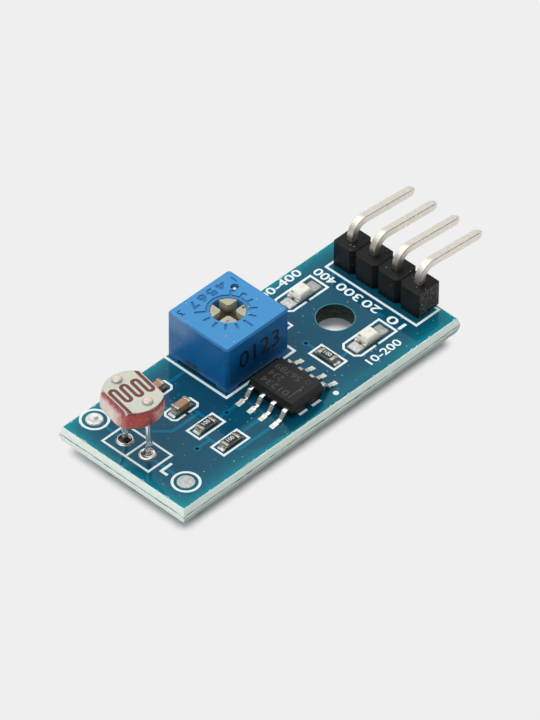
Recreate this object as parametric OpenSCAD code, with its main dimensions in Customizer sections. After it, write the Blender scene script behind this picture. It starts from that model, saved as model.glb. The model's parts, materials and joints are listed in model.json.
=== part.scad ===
// Light sensor module: a small printed circuit board that carries a photoresistor on two wires,
// a single-turn trimmer, a dual comparator, four chip resistors, two chip capacitors, two
// indicator lamps and a row of four bent pins.
// Frame: millimetres, +X along the board towards the pins, +Y across it, +Z up. The origin is
// where the axis of the mounting hole meets the underside of the board.

/* [Board] */
// Length of the board over its snapped edges
board_l = 32; // [31.5:0.1:33]
// Width of the board over its snapped edges
board_w = 14; // [13.6:0.1:14.6]
// Thickness of the laminate
board_t = 1.5; // [1.2:0.1:1.7]
// How far each score groove undercuts the edge of the board
score_bevel = 0.12; // [0.05:0.01:0.2]
// Height of the ridge left between the two score grooves
score_ridge = 0.55; // [0.3:0.05:0.8]
// Diameter of the mounting hole
mount_hole_d = 3.2; // [3:0.1:3.4]
// Diameter of the plated holes for component wires
wire_hole_d = 0.9; // [0.8:0.05:1]
// Diameter of the plated holes for the pin row and the trimmer
pin_hole_d = 1.0; // [0.95:0.01:1.1]
// Diameter of the small layer-to-layer holes
via_d = 0.3; // [0.2:0.05:0.4]
// How far trimmed wires and pins stand out below the board
tail = 1.3; // [0.8:0.1:1.6]

/* [Photoresistor] */
// Diameter of the ceramic disc before its two flats
cell_d = 5.04; // [4.8:0.01:5.2]
// Distance between the two flats of the disc
cell_flats = 3.72; // [3.5:0.01:3.9]
// Thickness of the ceramic disc
cell_t = 1.2; // [1:0.05:1.4]
// Height of the top of the disc above the board
cell_rise = 6.15; // [5.5:0.05:7]
// Turn of the disc about its own axis, clockwise from above, in degrees
cell_turn = 10; // [0:1:15]
// Height of the resin coat, from just below the rim of the disc to its underside
coat_h = 1.95; // [1.7:0.05:2.1]
// How far the resin coat stands out from the sides of the disc
coat_bulge = 0.16; // [0.1:0.01:0.2]
// Thickness of each printed film on the disc
film_t = 0.04; // [0.03:0.01:0.06]
// Distance between the runs of the sensing gap
gap_pitch = 0.54; // [0.5:0.01:0.56]
// Width of the sensing gap between the two electrode films
gap_w = 0.32; // [0.22:0.01:0.34]
// Length of the straight runs of the sensing gap
gap_run = 1.26; // [1:0.02:1.4]
// Diameter of the lead wire
wire_d = 0.5; // [0.45:0.01:0.55]
// Diameter of the upset head of each lead
wire_head_d = 0.84; // [0.7:0.02:0.9]
// Height of the upset head of each lead
wire_head_h = 0.24; // [0.15:0.01:0.3]

/* [Trimmer] */
// Length of the trimmer housing along X
trim_l = 7.2; // [6.8:0.1:7.4]
// Width of the trimmer housing along Y
trim_w = 6.84; // [6.5:0.02:6.9]
// Height of the trimmer housing
trim_h = 4.8; // [4.6:0.1:5]
// Wall of the trimmer housing
trim_wall = 0.6; // [0.5:0.05:0.7]
// Radius of the upright corners of the housing
trim_corner_r = 0.3; // [0.1:0.05:0.4]
// Radius round the top of the housing
trim_edge_r = 0.14; // [0.05:0.01:0.2]
// Thickness of the top of the housing
trim_top_t = 1.1; // [1:0.05:1.2]
// Height of the corner feet under the housing
trim_foot_h = 0.32; // [0.2:0.02:0.4]
// Width of each corner foot
trim_foot_w = 1.25; // [1:0.05:1.4]
// Diameter of the hole in the top of the housing
rotor_hole_d = 3.06; // [3.02:0.02:3.1]
// Diameter of the head of the rotor
rotor_head_d = 2.96; // [2.9:0.02:2.98]
// How far the head of the rotor lies below the top of the housing
rotor_sink = 0.06; // [0:0.02:0.2]
// Width of the cross slot in the rotor
slot_w = 0.74; // [0.6:0.02:0.8]
// Depth of the cross slot in the rotor
slot_depth = 0.98; // [0.8:0.02:1]
// Radius on the inner corners of the four lobes of the rotor
lobe_r = 0.3; // [0.1:0.05:0.4]
// Diameter of the flange of the rotor, inside the housing
flange_d = 4.2; // [4:0.1:4.4]
// Thickness of the flange of the rotor
flange_t = 0.9; // [0.7:0.05:1]
// Angle that the stop lug of the rotor takes up, in degrees
lug_angle = 44; // [30:1:46]
// Angle that the stop rib of the housing takes up, in degrees
stop_angle = 50; // [40:1:52]
// Diameter of the trimmer pins
trim_pin_d = 0.5; // [0.45:0.01:0.55]
// Distance between the outer trimmer pins
trim_pin_pitch = 5.08; // [5:0.01:5.16]
// Offset of the middle trimmer pin from the line of the outer two
trim_pin_offset = 2.54; // [2.4:0.01:2.6]

/* [Comparator] */
// Length of the moulded package along Y
ic_l = 4.9; // [4.8:0.02:5]
// Width of the moulded package along X, without its leads
ic_w = 3.9; // [3.8:0.02:4]
// Height of the moulded package above its standoff
ic_h = 1.4; // [1.3:0.02:1.5]
// Gap between the package and the board
ic_standoff = 0.1; // [0.05:0.01:0.25]
// Draft of the side faces that the leads leave, measured at the top
ic_draft_x = 0.21; // [0.1:0.01:0.25]
// Draft of the two end faces, measured at the top
ic_draft_y = 0.16; // [0.1:0.01:0.2]
// Width over the tips of the leads
ic_span = 6.1; // [5.9:0.02:6.2]
// Pitch of the leads
ic_pitch = 1.27; // [1.27:0.01:1.28]
// Width of a lead
ic_lead_w = 0.42; // [0.35:0.01:0.5]
// Thickness of a lead
ic_lead_t = 0.2; // [0.17:0.01:0.25]
// How much further the leads on the side of the pin row reach
ic_far_reach = 0.24; // [0:0.02:0.3]
// Length of the flat foot of a lead
ic_foot = 0.6; // [0.5:0.02:0.7]

/* [Pin row] */
// Number of pins
pin_count = 4; // [4:1:4]
// Pitch of the pins
pin_pitch = 2.54; // [2.54:0.01:2.55]
// Side of a square pin
pin_s = 0.64; // [0.6:0.01:0.66]
// Height and width of the insulator
insulator_s = 2.54; // [2.4:0.01:2.6]
// Depth of the notches between the cells of the insulator
notch = 0.38; // [0.2:0.02:0.5]
// How much shallower the notches are at the end that was snapped through the thick
snap_fill = 0.24; // [0:0.02:0.3]
// Material lost at each snapped end of the insulator
snap_loss = 0.26; // [0:0.02:0.36]
// Straight length of a pin between the insulator and its bend
pin_rise = 0.3; // [0.1:0.05:0.5]
// Bend radius of a pin, on its centre line
pin_bend_r = 1.2; // [1:0.05:1.5]
// How far past a right angle the pins are bent, in degrees
pin_droop = 5.6; // [0:0.2:8]
// Reach of a pin from the pin row to its tip
pin_reach = 7.25; // [6.5:0.05:8]
// Length of the bevel at each end of a pin
pin_bevel = 0.45; // [0.2:0.05:0.6]

/* [Chip parts] */
// Length of a chip resistor or capacitor
chip_l = 1.6; // [1.5:0.02:1.7]
// Width of a chip resistor or capacitor
chip_w = 0.8; // [0.75:0.01:0.85]
// Height of a chip resistor
resistor_h = 0.45; // [0.4:0.01:0.5]
// Height of a chip capacitor
capacitor_h = 0.8; // [0.7:0.01:0.85]
// Length of each metal end
chip_end = 0.3; // [0.25:0.01:0.4]
// Thickness of the metal ends
chip_end_t = 0.04; // [0.03:0.01:0.06]

/* [Indicator lamps] */
// Length of an indicator lamp
lamp_l = 2.0; // [1.9:0.02:2.1]
// Width of an indicator lamp
lamp_w = 1.25; // [1.2:0.01:1.3]
// Height of the base of an indicator lamp
lamp_base_h = 0.3; // [0.25:0.01:0.35]
// Height of the clear block on the base
lamp_lens_h = 0.5; // [0.4:0.02:0.6]
// Length of the clear block at its foot
lamp_lens_l = 1.4; // [1.2:0.02:1.45]
// Taper of the clear block on each side
lamp_taper = 0.12; // [0.05:0.01:0.2]

/* [Hidden] */
$fn = 64;
eps = 0.01;

// Centre of each part, measured from the corner of the board at the photoresistor end
hole_at = [25.0, 7.3];
sensor_pads_at = [2.57, 7.91];
cell_at = [2.37, 8.07];
near_head_at = [2.31, 6.37];
far_head_at = [2.41, 9.92];
spare_pads_at = [[2.5, 2.25], [2.55, 12.65]];
trimmer_at = [15.73, 10.47];
comparator_at = [15.57, 3.72];
pin_row_at = [30.86, 7.2];
resistors_at = [[8.27, 5.67, 0], [8.27, 2.92, 0], [21.09, 4.37, 90], [21.09, 10.5, 90]];
capacitors_at = [[8.3, 8.5, 0], [8.3, 11.47, 0]];
signal_lamp_at = [25.0, 3.57];
power_lamp_at = [25.0, 11.2];
vias_at = [[5.87, 4.32], [10.62, 5.62], [21.07, 6.82]];

sensor_pitch = 2.54;
cell_top = board_t + cell_rise;
cell_bottom = cell_top - cell_t;
coat_bottom = cell_top - coat_h;

// Heights inside the trimmer, above the board
trim_base_h = 0.6;
trim_plate_t = 0.6;
track_t = 0.05;
plate_z = board_t + trim_foot_h + trim_base_h;
track_z = plate_z + trim_plate_t;
trim_top = board_t + trim_h;
seal_r = 0.26;
rotor_top = trim_top - rotor_sink;
flange_top = trim_top - trim_top_t - 2 * seal_r - 0.03;
flange_z = flange_top - flange_t;
track_r = 1.95;
track_w = 0.42;
lug_r = 2.5;
stop_r = 2.2;
wiper_t = 0.12;
cavity_l = trim_l - 2 * trim_wall;
cavity_w = trim_w - 2 * trim_wall;
trim_pins = [[trim_pin_pitch / 2, 1.3], [0, 1.3 - trim_pin_offset], [-trim_pin_pitch / 2, 1.3]];
scale_depth = 0.08;
track_angle = 234;

// Heights and inner pieces of the comparator
ic_z = board_t + ic_standoff;
ic_mid = ic_h * 0.52;
lead_in = 0.5;
die_pad = [2.2, 3.2, 0.2];
die = [1.3, 1.5, 0.28];
die_pad_z = ic_z + ic_mid - die_pad[2] / 2;

// Flat bottom of the notches between the cells of the insulator
notch_floor = 0.12;

// Metal and die of an indicator lamp
lamp_end = 0.3;
lamp_notch_r = 0.22;
lamp_metal_t = 0.04;
lamp_chip = [0.3, 0.3, 0.15];

pin_top = board_t + insulator_s + pin_rise;
pin_tip_cut = 0.16;
pin_tail_cut = 0.06;

// Shared shapes

// Points of an arc in the plane
function arc(c, r, a0, a1, n = 12) =
    [for (i = [0:n]) c + r * [cos(a0 + (a1 - a0) * i / n), sin(a0 + (a1 - a0) * i / n)]];

// Moves children from a place measured on the board to the module's frame
module at(p, z = 0) {
    translate([p[0] - hole_at[0], p[1] - hole_at[1], z]) children();
}

// Point of a quadratic curve from a to c that leans towards b
function bend(a, b, c, u) = (1 - u) * (1 - u) * a + 2 * u * (1 - u) * b + u * u * c;

// Route with each inner corner replaced by a short curve that starts a given distance before it
function rounded_route(points, reach, n = 5) =
    let (last = len(points) - 1)
    concat([points[0]],
           [for (i = [1:last - 1])
               let (p = points[i], a = points[i - 1] - p, c = points[i + 1] - p,
                    ra = min(reach, norm(a) / 2.2), rc = min(reach, norm(c) / 2.2))
               for (k = [0:n]) bend(p + a * ra / norm(a), p, p + c * rc / norm(c), k / n)],
           [points[last]]);

// Wire down a route that never runs level, as level rings joined into one skin; each point of
// the route is [place, radius there]
module wire(route, sides = 20) {
    n = len(route);
    ring = [for (k = [0:sides - 1]) [cos(360 * k / sides), sin(360 * k / sides), 0]];
    polyhedron([for (p = route) for (c = ring) p[0] + p[1] * c],
               concat([[for (k = [0:sides - 1]) k], [for (k = [sides - 1:-1:0]) (n - 1) * sides + k]],
                      [for (i = [0:n - 2]) for (k = [0:sides - 1])
                          let (a = i * sides + k, b = i * sides + (k + 1) % sides)
                          [a, a + sides, b + sides, b]]),
               convexity = 4);
}

// Sector of a ring
module ring_sector(r0, r1, angle, h) {
    rotate([0, 0, -angle / 2]) rotate_extrude(angle = angle) translate([r0, 0]) square([r1 - r0, h]);
}

// Block whose four sides lean in above and below a middle plane
module drafted_block(l, w, h, draft_l, draft_w, mid) {
    intersection() {
        rotate([90, 0, 0]) linear_extrude(w + 1, center = true) drafted_outline(l, h, draft_l, mid);
        rotate([90, 0, 90]) linear_extrude(l + 1, center = true) drafted_outline(w, h, draft_w, mid);
    }
}

module drafted_outline(l, h, draft, mid) {
    a = l / 2;
    b = a - draft;
    foot = mid > 0 ? [[-b, 0], [b, 0]] : [];
    polygon(concat(foot, [[a, mid], [b, h], [-b, h], [-a, mid]]));
}

// Circuit board

module scored_outline(l) {
    a = l - score_bevel;
    lo = (board_t - score_ridge) / 2;
    hi = lo + score_ridge;
    polygon([[score_bevel, 0], [a, 0], [l, lo], [l, hi],
             [a, board_t], [score_bevel, board_t], [0, hi], [0, lo]]);
}

module board_hole(p, d) {
    at(p, -1) cylinder(h = board_t + 2, d = d);
}

module circuit_board() {
    color("#1f6f86") difference() {
        at([0, 0]) intersection() {
            translate([0, board_w + 1, 0]) rotate([90, 0, 0])
                linear_extrude(board_w + 2) scored_outline(board_l);
            translate([-1, 0, 0]) rotate([90, 0, 90])
                linear_extrude(board_l + 2) scored_outline(board_w);
        }
        board_hole(hole_at, mount_hole_d);
        for (s = [-1, 1]) board_hole(sensor_pads_at + [0, s * sensor_pitch / 2], wire_hole_d);
        for (p = spare_pads_at) board_hole(p, wire_hole_d);
        for (p = trim_pins) board_hole(trimmer_at + p, pin_hole_d);
        for (i = [1:pin_count]) board_hole(pin_at(i), pin_hole_d);
        for (p = vias_at) board_hole(p, via_d);
    }
}

// Photoresistor

// Moves children to the disc of the photoresistor, turned as it is fitted
module on_cell(z) {
    at(cell_at, z) rotate([0, 0, -cell_turn]) children();
}

module cell_outline(grow = 0) {
    intersection() {
        circle(d = cell_d + 2 * grow, $fn = 96);
        square([cell_flats + 2 * grow, cell_d + 2], center = true);
    }
}

// Centre line places of the two leads at the height of the disc
function head_xyz(i, z) =
    let (p = i == 1 ? near_head_at : far_head_at) [p[0] - hole_at[0], p[1] - hole_at[1], z];

module lead_holes(z, h) {
    for (i = [1, 2]) translate(head_xyz(i, z)) cylinder(h = h, d = wire_d);
}

module photoresistor_ceramic() {
    color("#e4e2d8") difference() {
        on_cell(cell_bottom) linear_extrude(cell_t - 2 * film_t) cell_outline();
        lead_holes(cell_bottom - 1, cell_t + 2);
    }
}

module photoresistor_cell_film() {
    color("#70403f") difference() {
        on_cell(cell_top - 2 * film_t) linear_extrude(film_t) cell_outline();
        lead_holes(cell_top - 1, 2);
    }
}

// Sensing gap: seven runs joined by half turns, the first and last run out over the rim
module sensing_gap() {
    runs = 7;
    first = -gap_pitch * (runs - 1) / 2;
    low = -gap_run / 2 + 0.16;
    high = gap_run / 2 + 0.16;
    for (i = [0:runs - 1]) {
        y0 = i == 0 ? -cell_d : low;
        y1 = i == runs - 1 ? cell_d : high;
        translate([first + i * gap_pitch - gap_w / 2, y0]) square([gap_w, y1 - y0]);
    }
    for (i = [0:runs - 2]) {
        up = i % 2 == 0;
        translate([first + (i + 0.5) * gap_pitch, up ? high : low]) half_ring(up ? 1 : -1);
    }
}

module half_ring(side) {
    intersection() {
        difference() {
            circle(d = gap_pitch + gap_w);
            circle(d = gap_pitch - gap_w);
        }
        translate([-gap_pitch, side > 0 ? 0 : -gap_pitch]) square([2 * gap_pitch, gap_pitch]);
    }
}

module photoresistor_electrode_film() {
    color("#d5d6c9") difference() {
        on_cell(cell_top - film_t) linear_extrude(film_t) difference() {
            cell_outline();
            sensing_gap();
        }
        lead_holes(cell_top - 1, 2);
    }
}

// Resin coat round the sides and the underside, fullest below the middle
module photoresistor_coating() {
    slice = 0.02;
    color("#b5514d") difference() {
        hull() {
            on_cell(cell_top - 0.12 - slice) linear_extrude(slice) cell_outline(0.04);
            on_cell(coat_bottom + 1.0) linear_extrude(slice) cell_outline(coat_bulge);
            on_cell(coat_bottom + 0.35) linear_extrude(slice) cell_outline(coat_bulge - 0.06);
            on_cell(coat_bottom) linear_extrude(slice) cell_outline(-0.3);
        }
        on_cell(cell_bottom) linear_extrude(cell_t) cell_outline();
        lead_holes(coat_bottom - 1, coat_h + 2);
    }
}

// Lead of the photoresistor: upset head with a bevelled rim, straight through the disc, then
// down to its pad
module photoresistor_lead(i) {
    bevel = 0.08;
    r = wire_d / 2;
    head_r = wire_head_d / 2;
    pad = sensor_pads_at + [0, (i == 1 ? -1 : 1) * sensor_pitch / 2] - hole_at;
    knee = i == 1 ? [-22.46, -0.92, 2.85] : [-22.45, 1.98, 2.85];
    top = cell_top + wire_head_h;
    head = [[top, head_r - bevel], [top - bevel, head_r], [cell_top, head_r]];
    bends = rounded_route([head_xyz(i, cell_top), head_xyz(i, coat_bottom - 0.3), knee,
                           [pad[0], pad[1], board_t + 0.7], [pad[0], pad[1], -tail]], 0.25);
    color("#b9bcb4") wire(concat([for (p = head) [head_xyz(i, p[0]), p[1]]], [for (p = bends) [p, r]]));
}

// Trimmer

module on_trimmer(z = 0) {
    at(trimmer_at, z) children();
}

module rounded_block(l, w, h, r) {
    linear_extrude(h) rounded_outline(l, w, r);
}

module rounded_outline(l, w, r) {
    a = l / 2 - r;
    b = w / 2 - r;
    polygon(concat(arc([a, b], r, 0, 90, 6), arc([-a, b], r, 90, 180, 6),
                   arc([-a, -b], r, 180, 270, 6), arc([a, -b], r, 270, 360, 6)));
}

// Moulded housing, open below, with corner feet, a stop rib and a scale cut round its hole
module trimmer_housing() {
    color("#2b78bd") on_trimmer(board_t) difference() {
        intersection() {
            rounded_block(trim_l, trim_w, trim_h, trim_corner_r);
            rotate([90, 0, 90]) linear_extrude(trim_l + 1, center = true) top_rounded(trim_w);
            rotate([90, 0, 0]) linear_extrude(trim_w + 1, center = true) top_rounded(trim_l);
        }
        difference() {
            translate([-cavity_l / 2, -cavity_w / 2, -1])
                cube([cavity_l, cavity_w, trim_h - trim_top_t + 1]);
            translate([0, 0, flange_z - board_t]) rotate([0, 0, -90])
                ring_sector(stop_r, trim_w / 2, stop_angle, flange_t + 2 * seal_r + 0.1);
        }
        foot_gaps();
        cylinder(h = trim_h + 1, d = rotor_hole_d);
        translate([2.4, 1.6, trim_h - trim_top_t - 1]) cylinder(h = trim_top_t + 2, d = 0.72);
        translate([0, 0, trim_h - scale_depth]) linear_extrude(1) trimmer_scale();
    }
}

module top_rounded(l) {
    a = l / 2;
    h = trim_h;
    r = trim_edge_r;
    polygon(concat([[-a, -1], [a, -1]],
                   arc([a - r, h - r], r, 0, 90, 5), arc([r - a, h - r], r, 90, 180, 5)));
}

module foot_gaps() {
    gap_l = trim_l - 2 * trim_foot_w;
    gap_w = trim_w - 2 * trim_foot_w;
    translate([-trim_l, -gap_w / 2, -1]) cube([2 * trim_l, gap_w, trim_foot_h + 1]);
    translate([-gap_l / 2, -trim_w, -1]) cube([gap_l, 2 * trim_w, trim_foot_h + 1]);
}

// Cut scale: eleven ticks over the travel of the rotor, and an arc over the rest of the turn that
// runs on behind the last four; the last two have a short foot at their outer end
module trimmer_scale() {
    travel = 257;
    ticks = 11;
    line = 0.15;
    r = 1.82;
    short = 0.66;
    long = 1.04;
    arc_end = -46;
    for (i = [0:ticks - 1]) {
        reach = i == 0 || i == (ticks - 1) / 2 ? long : short;
        rotate(-90 - travel / 2 + i * travel / (ticks - 1)) translate([r - line / 2, -line / 2]) {
            square([reach, line]);
            if (i > ticks - 3) translate([reach - line, -0.3]) square([line, 0.3 + eps]);
        }
    }
    polygon(concat(arc([0, 0], r, arc_end, 270 - travel / 2, 36),
                   arc([0, 0], r - line, 270 - travel / 2, arc_end, 36)));
}

// Rotor: slotted head, flange, stop lug and a boss for the wiper
module trimmer_rotor() {
    color("#b9b7a2") on_trimmer() difference() {
        union() {
            translate([0, 0, flange_top - eps])
                cylinder(h = rotor_top - flange_top + eps, d = rotor_head_d);
            translate([0, 0, flange_z]) {
                cylinder(h = flange_t, d = flange_d);
                rotate([0, 0, 90]) ring_sector(flange_d / 2 - 0.3, lug_r, lug_angle, flange_t);
            }
            translate([0, 0, flange_z - wiper_t]) cylinder(h = wiper_t + eps, d = 0.7);
        }
        translate([0, 0, rotor_top - slot_depth]) linear_extrude(slot_depth + 1) cross_slot();
    }
}

// Cross slot whose crossing is opened by the rounded corners of the lobes
module cross_slot() {
    a = slot_w / 2;
    for (t = [0, 90]) rotate(t) square([rotor_head_d + 1, slot_w], center = true);
    for (t = [0:90:270]) rotate(t)
        polygon(concat([[0, 0], [a + lobe_r, a - eps]],
                       arc([a + lobe_r, a + lobe_r], lobe_r, 270, 180, 8), [[a - eps, a + lobe_r]]));
}

// Stamped wiper: a washer under the rotor, a centre finger and one finger on the track
module trimmer_wiper() {
    z1 = flange_z;
    z0 = track_z + track_t + 0.02;
    color("#c9a86a") on_trimmer() {
        translate([0, 0, z1 - wiper_t]) difference() {
            cylinder(h = wiper_t, r = 1.25);
            translate([0, 0, -1]) cylinder(h = 3, d = 0.7);
        }
        rotate([0, 0, -90]) {
            finger(1.1, track_r, z0, z1 - wiper_t, 0.5);
            mirror([1, 0, 0]) finger(1.1, 0.1, z0, z1 - wiper_t, 0.4);
        }
    }
}

// Sprung finger from the washer down to a radius
module finger(r0, r1, z0, z1, w) {
    s = sign(r1 - r0);
    rotate([90, 0, 0]) linear_extrude(w, center = true)
        polygon([[r0, z1 + wiper_t], [r0 - s * 0.3, z1 + wiper_t], [r0 - s * 0.3, z1], [r1 - s * 0.2, z0],
                 [r1 + s * 0.12, z0], [r1 + s * 0.2, z0 + 0.14], [r1 - s * 0.12, z0 + wiper_t]]);
}

module trimmer_seal() {
    color("#8a4a35") on_trimmer(trim_top - trim_top_t - seal_r)
        rotate_extrude() translate([rotor_head_d / 2 + 0.03 + seal_r, 0]) circle(r = seal_r, $fn = 24);
}

// Ceramic plate of the trimmer, with a hole for each pin
module trimmer_plate() {
    color("#e6e3d6") on_trimmer(plate_z) difference() {
        translate([-cavity_l / 2, -cavity_w / 2, 0]) cube([cavity_l, cavity_w, trim_plate_t]);
        for (p = trim_pins) translate([p[0], p[1], -1]) cylinder(h = 3, d = trim_pin_d);
    }
}

// Printed film: the horseshoe, a land from each of its ends to a pin, and the centre spot,
// whose land runs to the middle pin
module trimmer_track() {
    land_w = 0.6;
    color("#2a2724") on_trimmer(track_z) difference() {
        union() {
            rotate([0, 0, -90])
                ring_sector(track_r - track_w / 2, track_r + track_w / 2, track_angle, track_t);
            for (side = [-1, 1]) rotate([0, 0, -90 + side * track_angle / 2])
                translate([track_r, -land_w / 2, 0]) cube([norm(trim_pins[0]) - track_r, land_w, track_t]);
            cylinder(h = track_t, r = 0.55);
            translate([-land_w / 2, trim_pins[1][1], 0]) cube([land_w, -trim_pins[1][1], track_t]);
        }
        for (p = trim_pins) translate([p[0], p[1], -1]) cylinder(h = 2, d = trim_pin_d);
    }
}

// Potting resin that closes the housing from below
module trimmer_base() {
    color("#20324a") on_trimmer(board_t + trim_foot_h) difference() {
        translate([-cavity_l / 2, -cavity_w / 2, 0]) cube([cavity_l, cavity_w, trim_base_h]);
        for (p = trim_pins) translate([p[0], p[1], -1]) cylinder(h = 3, d = trim_pin_d);
    }
}

module trimmer_pin(i) {
    p = trim_pins[i - 1];
    color("#c3c3bd") on_trimmer() translate([p[0], p[1], -tail]) {
        cylinder(h = track_z + track_t + tail, d = trim_pin_d);
        translate([0, 0, track_z + track_t + tail]) cylinder(h = 0.1, d = trim_pin_d + 0.1);
    }
}

// Comparator

module on_comparator(z = 0) {
    at(comparator_at, z) children();
}

// Outline of one lead from inside the package out to the tip of its foot
function lead_outline(further) =
    let (t = ic_lead_t, r = 0.12, lean = 8, z = ic_z + ic_mid - t / 2,
         x0 = ic_w / 2 - lead_in, x1 = ic_w / 2 + 0.12 + further, x2 = ic_span / 2 + further,
         top = [x1, z - r], low = [x2 - ic_foot + r + t, board_t + t + r])
    concat([[x0, z + t], [x0, z]],
           arc(top, r, 90, lean, 4),
           arc(low, r + t, 180 + lean, 270, 4),
           [[x2, board_t], [x2, board_t + t]],
           arc(low, r, 270, 180 + lean, 4),
           arc(top, r + t, lean, 90, 4));

function lead_y(k) = (k - 1.5) * ic_pitch;

// Leads 1 to 4 lie on the side towards the pin row, 5 to 8 on the other
module comparator_lead(i) {
    side = i <= 4 ? 1 : -1;
    k = i <= 4 ? i - 1 : 8 - i;
    color("#d8d8d2") on_comparator() translate([0, lead_y(k), 0]) on_side(side)
        rotate([90, 0, 0]) linear_extrude(ic_lead_w, center = true)
            polygon(lead_outline(side > 0 ? ic_far_reach : 0));
}

// Leaves children as they are on the side towards +X, or mirrors them to the other
module on_side(side) {
    mirror([side > 0 ? 0 : 1, 0, 0]) children();
}

module comparator_package() {
    color("#2b2c2b") difference() {
        on_comparator(ic_z) drafted_block(ic_w, ic_l, ic_h, ic_draft_x, ic_draft_y, ic_mid);
        on_comparator(ic_z + ic_mid) for (side = [-1, 1], k = [0:3])
            translate([side * (ic_w - lead_in + 1) / 2, lead_y(k), 0])
                cube([lead_in + 1, ic_lead_w, ic_lead_t], center = true);
        on_comparator(die_pad_z) centred_block(die_pad);
        on_comparator(die_pad_z + die_pad[2]) centred_block(die);
    }
}

// Block on the origin, centred in plan
module centred_block(size) {
    translate([-size[0] / 2, -size[1] / 2, 0]) cube(size);
}

module comparator_die_pad() {
    color("#b87b50") on_comparator(die_pad_z) centred_block(die_pad);
}

module comparator_die() {
    color("#6d7078") on_comparator(die_pad_z + die_pad[2]) centred_block(die);
}

// Pin row

function pin_at(i) = pin_row_at + [0, (i - (pin_count + 1) / 2) * pin_pitch];

// Insulator seen from above: cells with notches between them, snapped off short at both ends
module insulator_outline() {
    difference() {
        square([insulator_s, pin_count * pin_pitch - 2 * snap_loss], center = true);
        for (i = [0:pin_count], side = [0, 1]) mirror([side, 0])
            translate([insulator_s / 2 + (i == 0 ? snap_fill : 0), (i - pin_count / 2) * pin_pitch])
                insulator_notch();
    }
}

module insulator_notch() {
    a = notch_floor / 2;
    polygon([[notch, a - 2 * notch], [-notch, -a], [-notch, a], [notch, 2 * notch - a]]);
}

// The cells are also parted by a shallow groove across the top
module header_insulator() {
    groove = 0.1;
    color("#26292a") difference() {
        at(pin_row_at, board_t) linear_extrude(insulator_s) insulator_outline();
        at(pin_row_at, board_t + insulator_s - groove) for (i = [1:pin_count - 1])
            translate([-insulator_s, (i - pin_count / 2) * pin_pitch - notch_floor / 2, 0])
                cube([2 * insulator_s, notch_floor, 1]);
        for (i = [1:pin_count]) at(pin_at(i), board_t - 1)
            translate([-pin_s / 2, -pin_s / 2, 0]) cube([pin_s, pin_s, insulator_s + 2]);
    }
}

// Side view of a pin: trimmed tail, straight stem, bend and drooping leg with a bevelled tip
function pin_side() =
    let (h = pin_s / 2, c = [pin_bend_r, pin_top], end_a = 90 - pin_droop,
         along = [cos(pin_droop), -sin(pin_droop)], across = [sin(pin_droop), cos(pin_droop)],
         run = (pin_reach - pin_bend_r - pin_bend_r * cos(end_a)) / cos(pin_droop),
         tip = c + pin_bend_r * [cos(end_a), sin(end_a)] + run * along,
         back = tip - pin_bevel * along, tip_h = h - pin_tip_cut, tail_h = h - pin_tail_cut)
    concat([[tail_h, -tail], [-tail_h, -tail], [-h, -tail + 2 * pin_tail_cut]],
           arc(c, pin_bend_r + h, 180, end_a, 16),
           [back + h * across, tip + tip_h * across, tip - tip_h * across, back - h * across],
           arc(c, pin_bend_r - h, end_a, 180, 16),
           [[h, -tail + 2 * pin_tail_cut]]);

// Plan view of a pin, which bevels the two sides of its tip
module pin_plan() {
    h = pin_s / 2;
    tip_h = h - pin_tip_cut;
    back = pin_reach - pin_bevel;
    polygon([[-1, -h], [back, -h], [pin_reach, -tip_h], [pin_reach + 1, -tip_h],
             [pin_reach + 1, tip_h], [pin_reach, tip_h], [back, h], [-1, h]]);
}

module header_pin(i) {
    color("#d6d2c6") at(pin_at(i)) intersection() {
        rotate([90, 0, 0]) linear_extrude(pin_s + 1, center = true) polygon(pin_side());
        translate([0, 0, -5]) linear_extrude(20) pin_plan();
    }
}

// Chip parts

module on_chip(p, z = board_t) {
    at(p, z) rotate([0, 0, p[2]]) children();
}

module chip_body(h) {
    t = chip_end_t;
    translate([-chip_l / 2 + t, -chip_w / 2 + t, t]) cube([chip_l - 2 * t, chip_w - 2 * t, h - 2 * t]);
}

// Metal ends that wrap the five outer faces at both ends of a chip
module chip_ends(h) {
    middle = (chip_l - chip_end) / 2;
    for (side = [-1, 1]) difference() {
        translate([side * middle, 0, h / 2]) cube([chip_end, chip_w, h], center = true);
        chip_body(h);
    }
}

module resistor_body(i) {
    color("#2a2b2c") on_chip(resistors_at[i - 1]) chip_body(resistor_h);
}

module resistor_ends(i) {
    color("#c9c6ba") on_chip(resistors_at[i - 1]) chip_ends(resistor_h);
}

module capacitor_body(i) {
    color("#a97f60") on_chip(capacitors_at[i - 1]) chip_body(capacitor_h);
}

module capacitor_ends(i) {
    color("#cfcabb") on_chip(capacitors_at[i - 1]) chip_ends(capacitor_h);
}

// Indicator lamps

module lamp_plan(l) {
    difference() {
        square([l, lamp_w], center = true);
        for (side = [-1, 1]) translate([side * lamp_l / 2, 0]) circle(r = lamp_notch_r);
    }
}

module lamp_base(p) {
    color("#e8e6d8") at(p, board_t) difference() {
        linear_extrude(lamp_base_h) lamp_plan(lamp_l);
        for (side = [-1, 1]) translate([0, 0, lamp_base_h - lamp_metal_t]) lamp_terminal(side, 1);
    }
}

module lamp_terminal(side, h) {
    linear_extrude(h) intersection() {
        lamp_plan(lamp_l);
        translate([side * (lamp_l - lamp_end) / 2, 0]) square([lamp_end, lamp_w], center = true);
    }
}

module lamp_terminals(p) {
    color("#cfd0c8") at(p, board_t + lamp_base_h - lamp_metal_t)
        for (side = [-1, 1]) lamp_terminal(side, lamp_metal_t);
}

module lamp_lens(p) {
    l = lamp_lens_l;
    color("#f2f0e6") at(p, board_t + lamp_base_h) difference() {
        drafted_block(l, lamp_w, lamp_lens_h, lamp_taper, lamp_taper, 0);
        centred_block(lamp_chip);
    }
}

module lamp_die(p) {
    color("#c8b070") at(p, board_t + lamp_base_h) centred_block(lamp_chip);
}

// Solder

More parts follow.
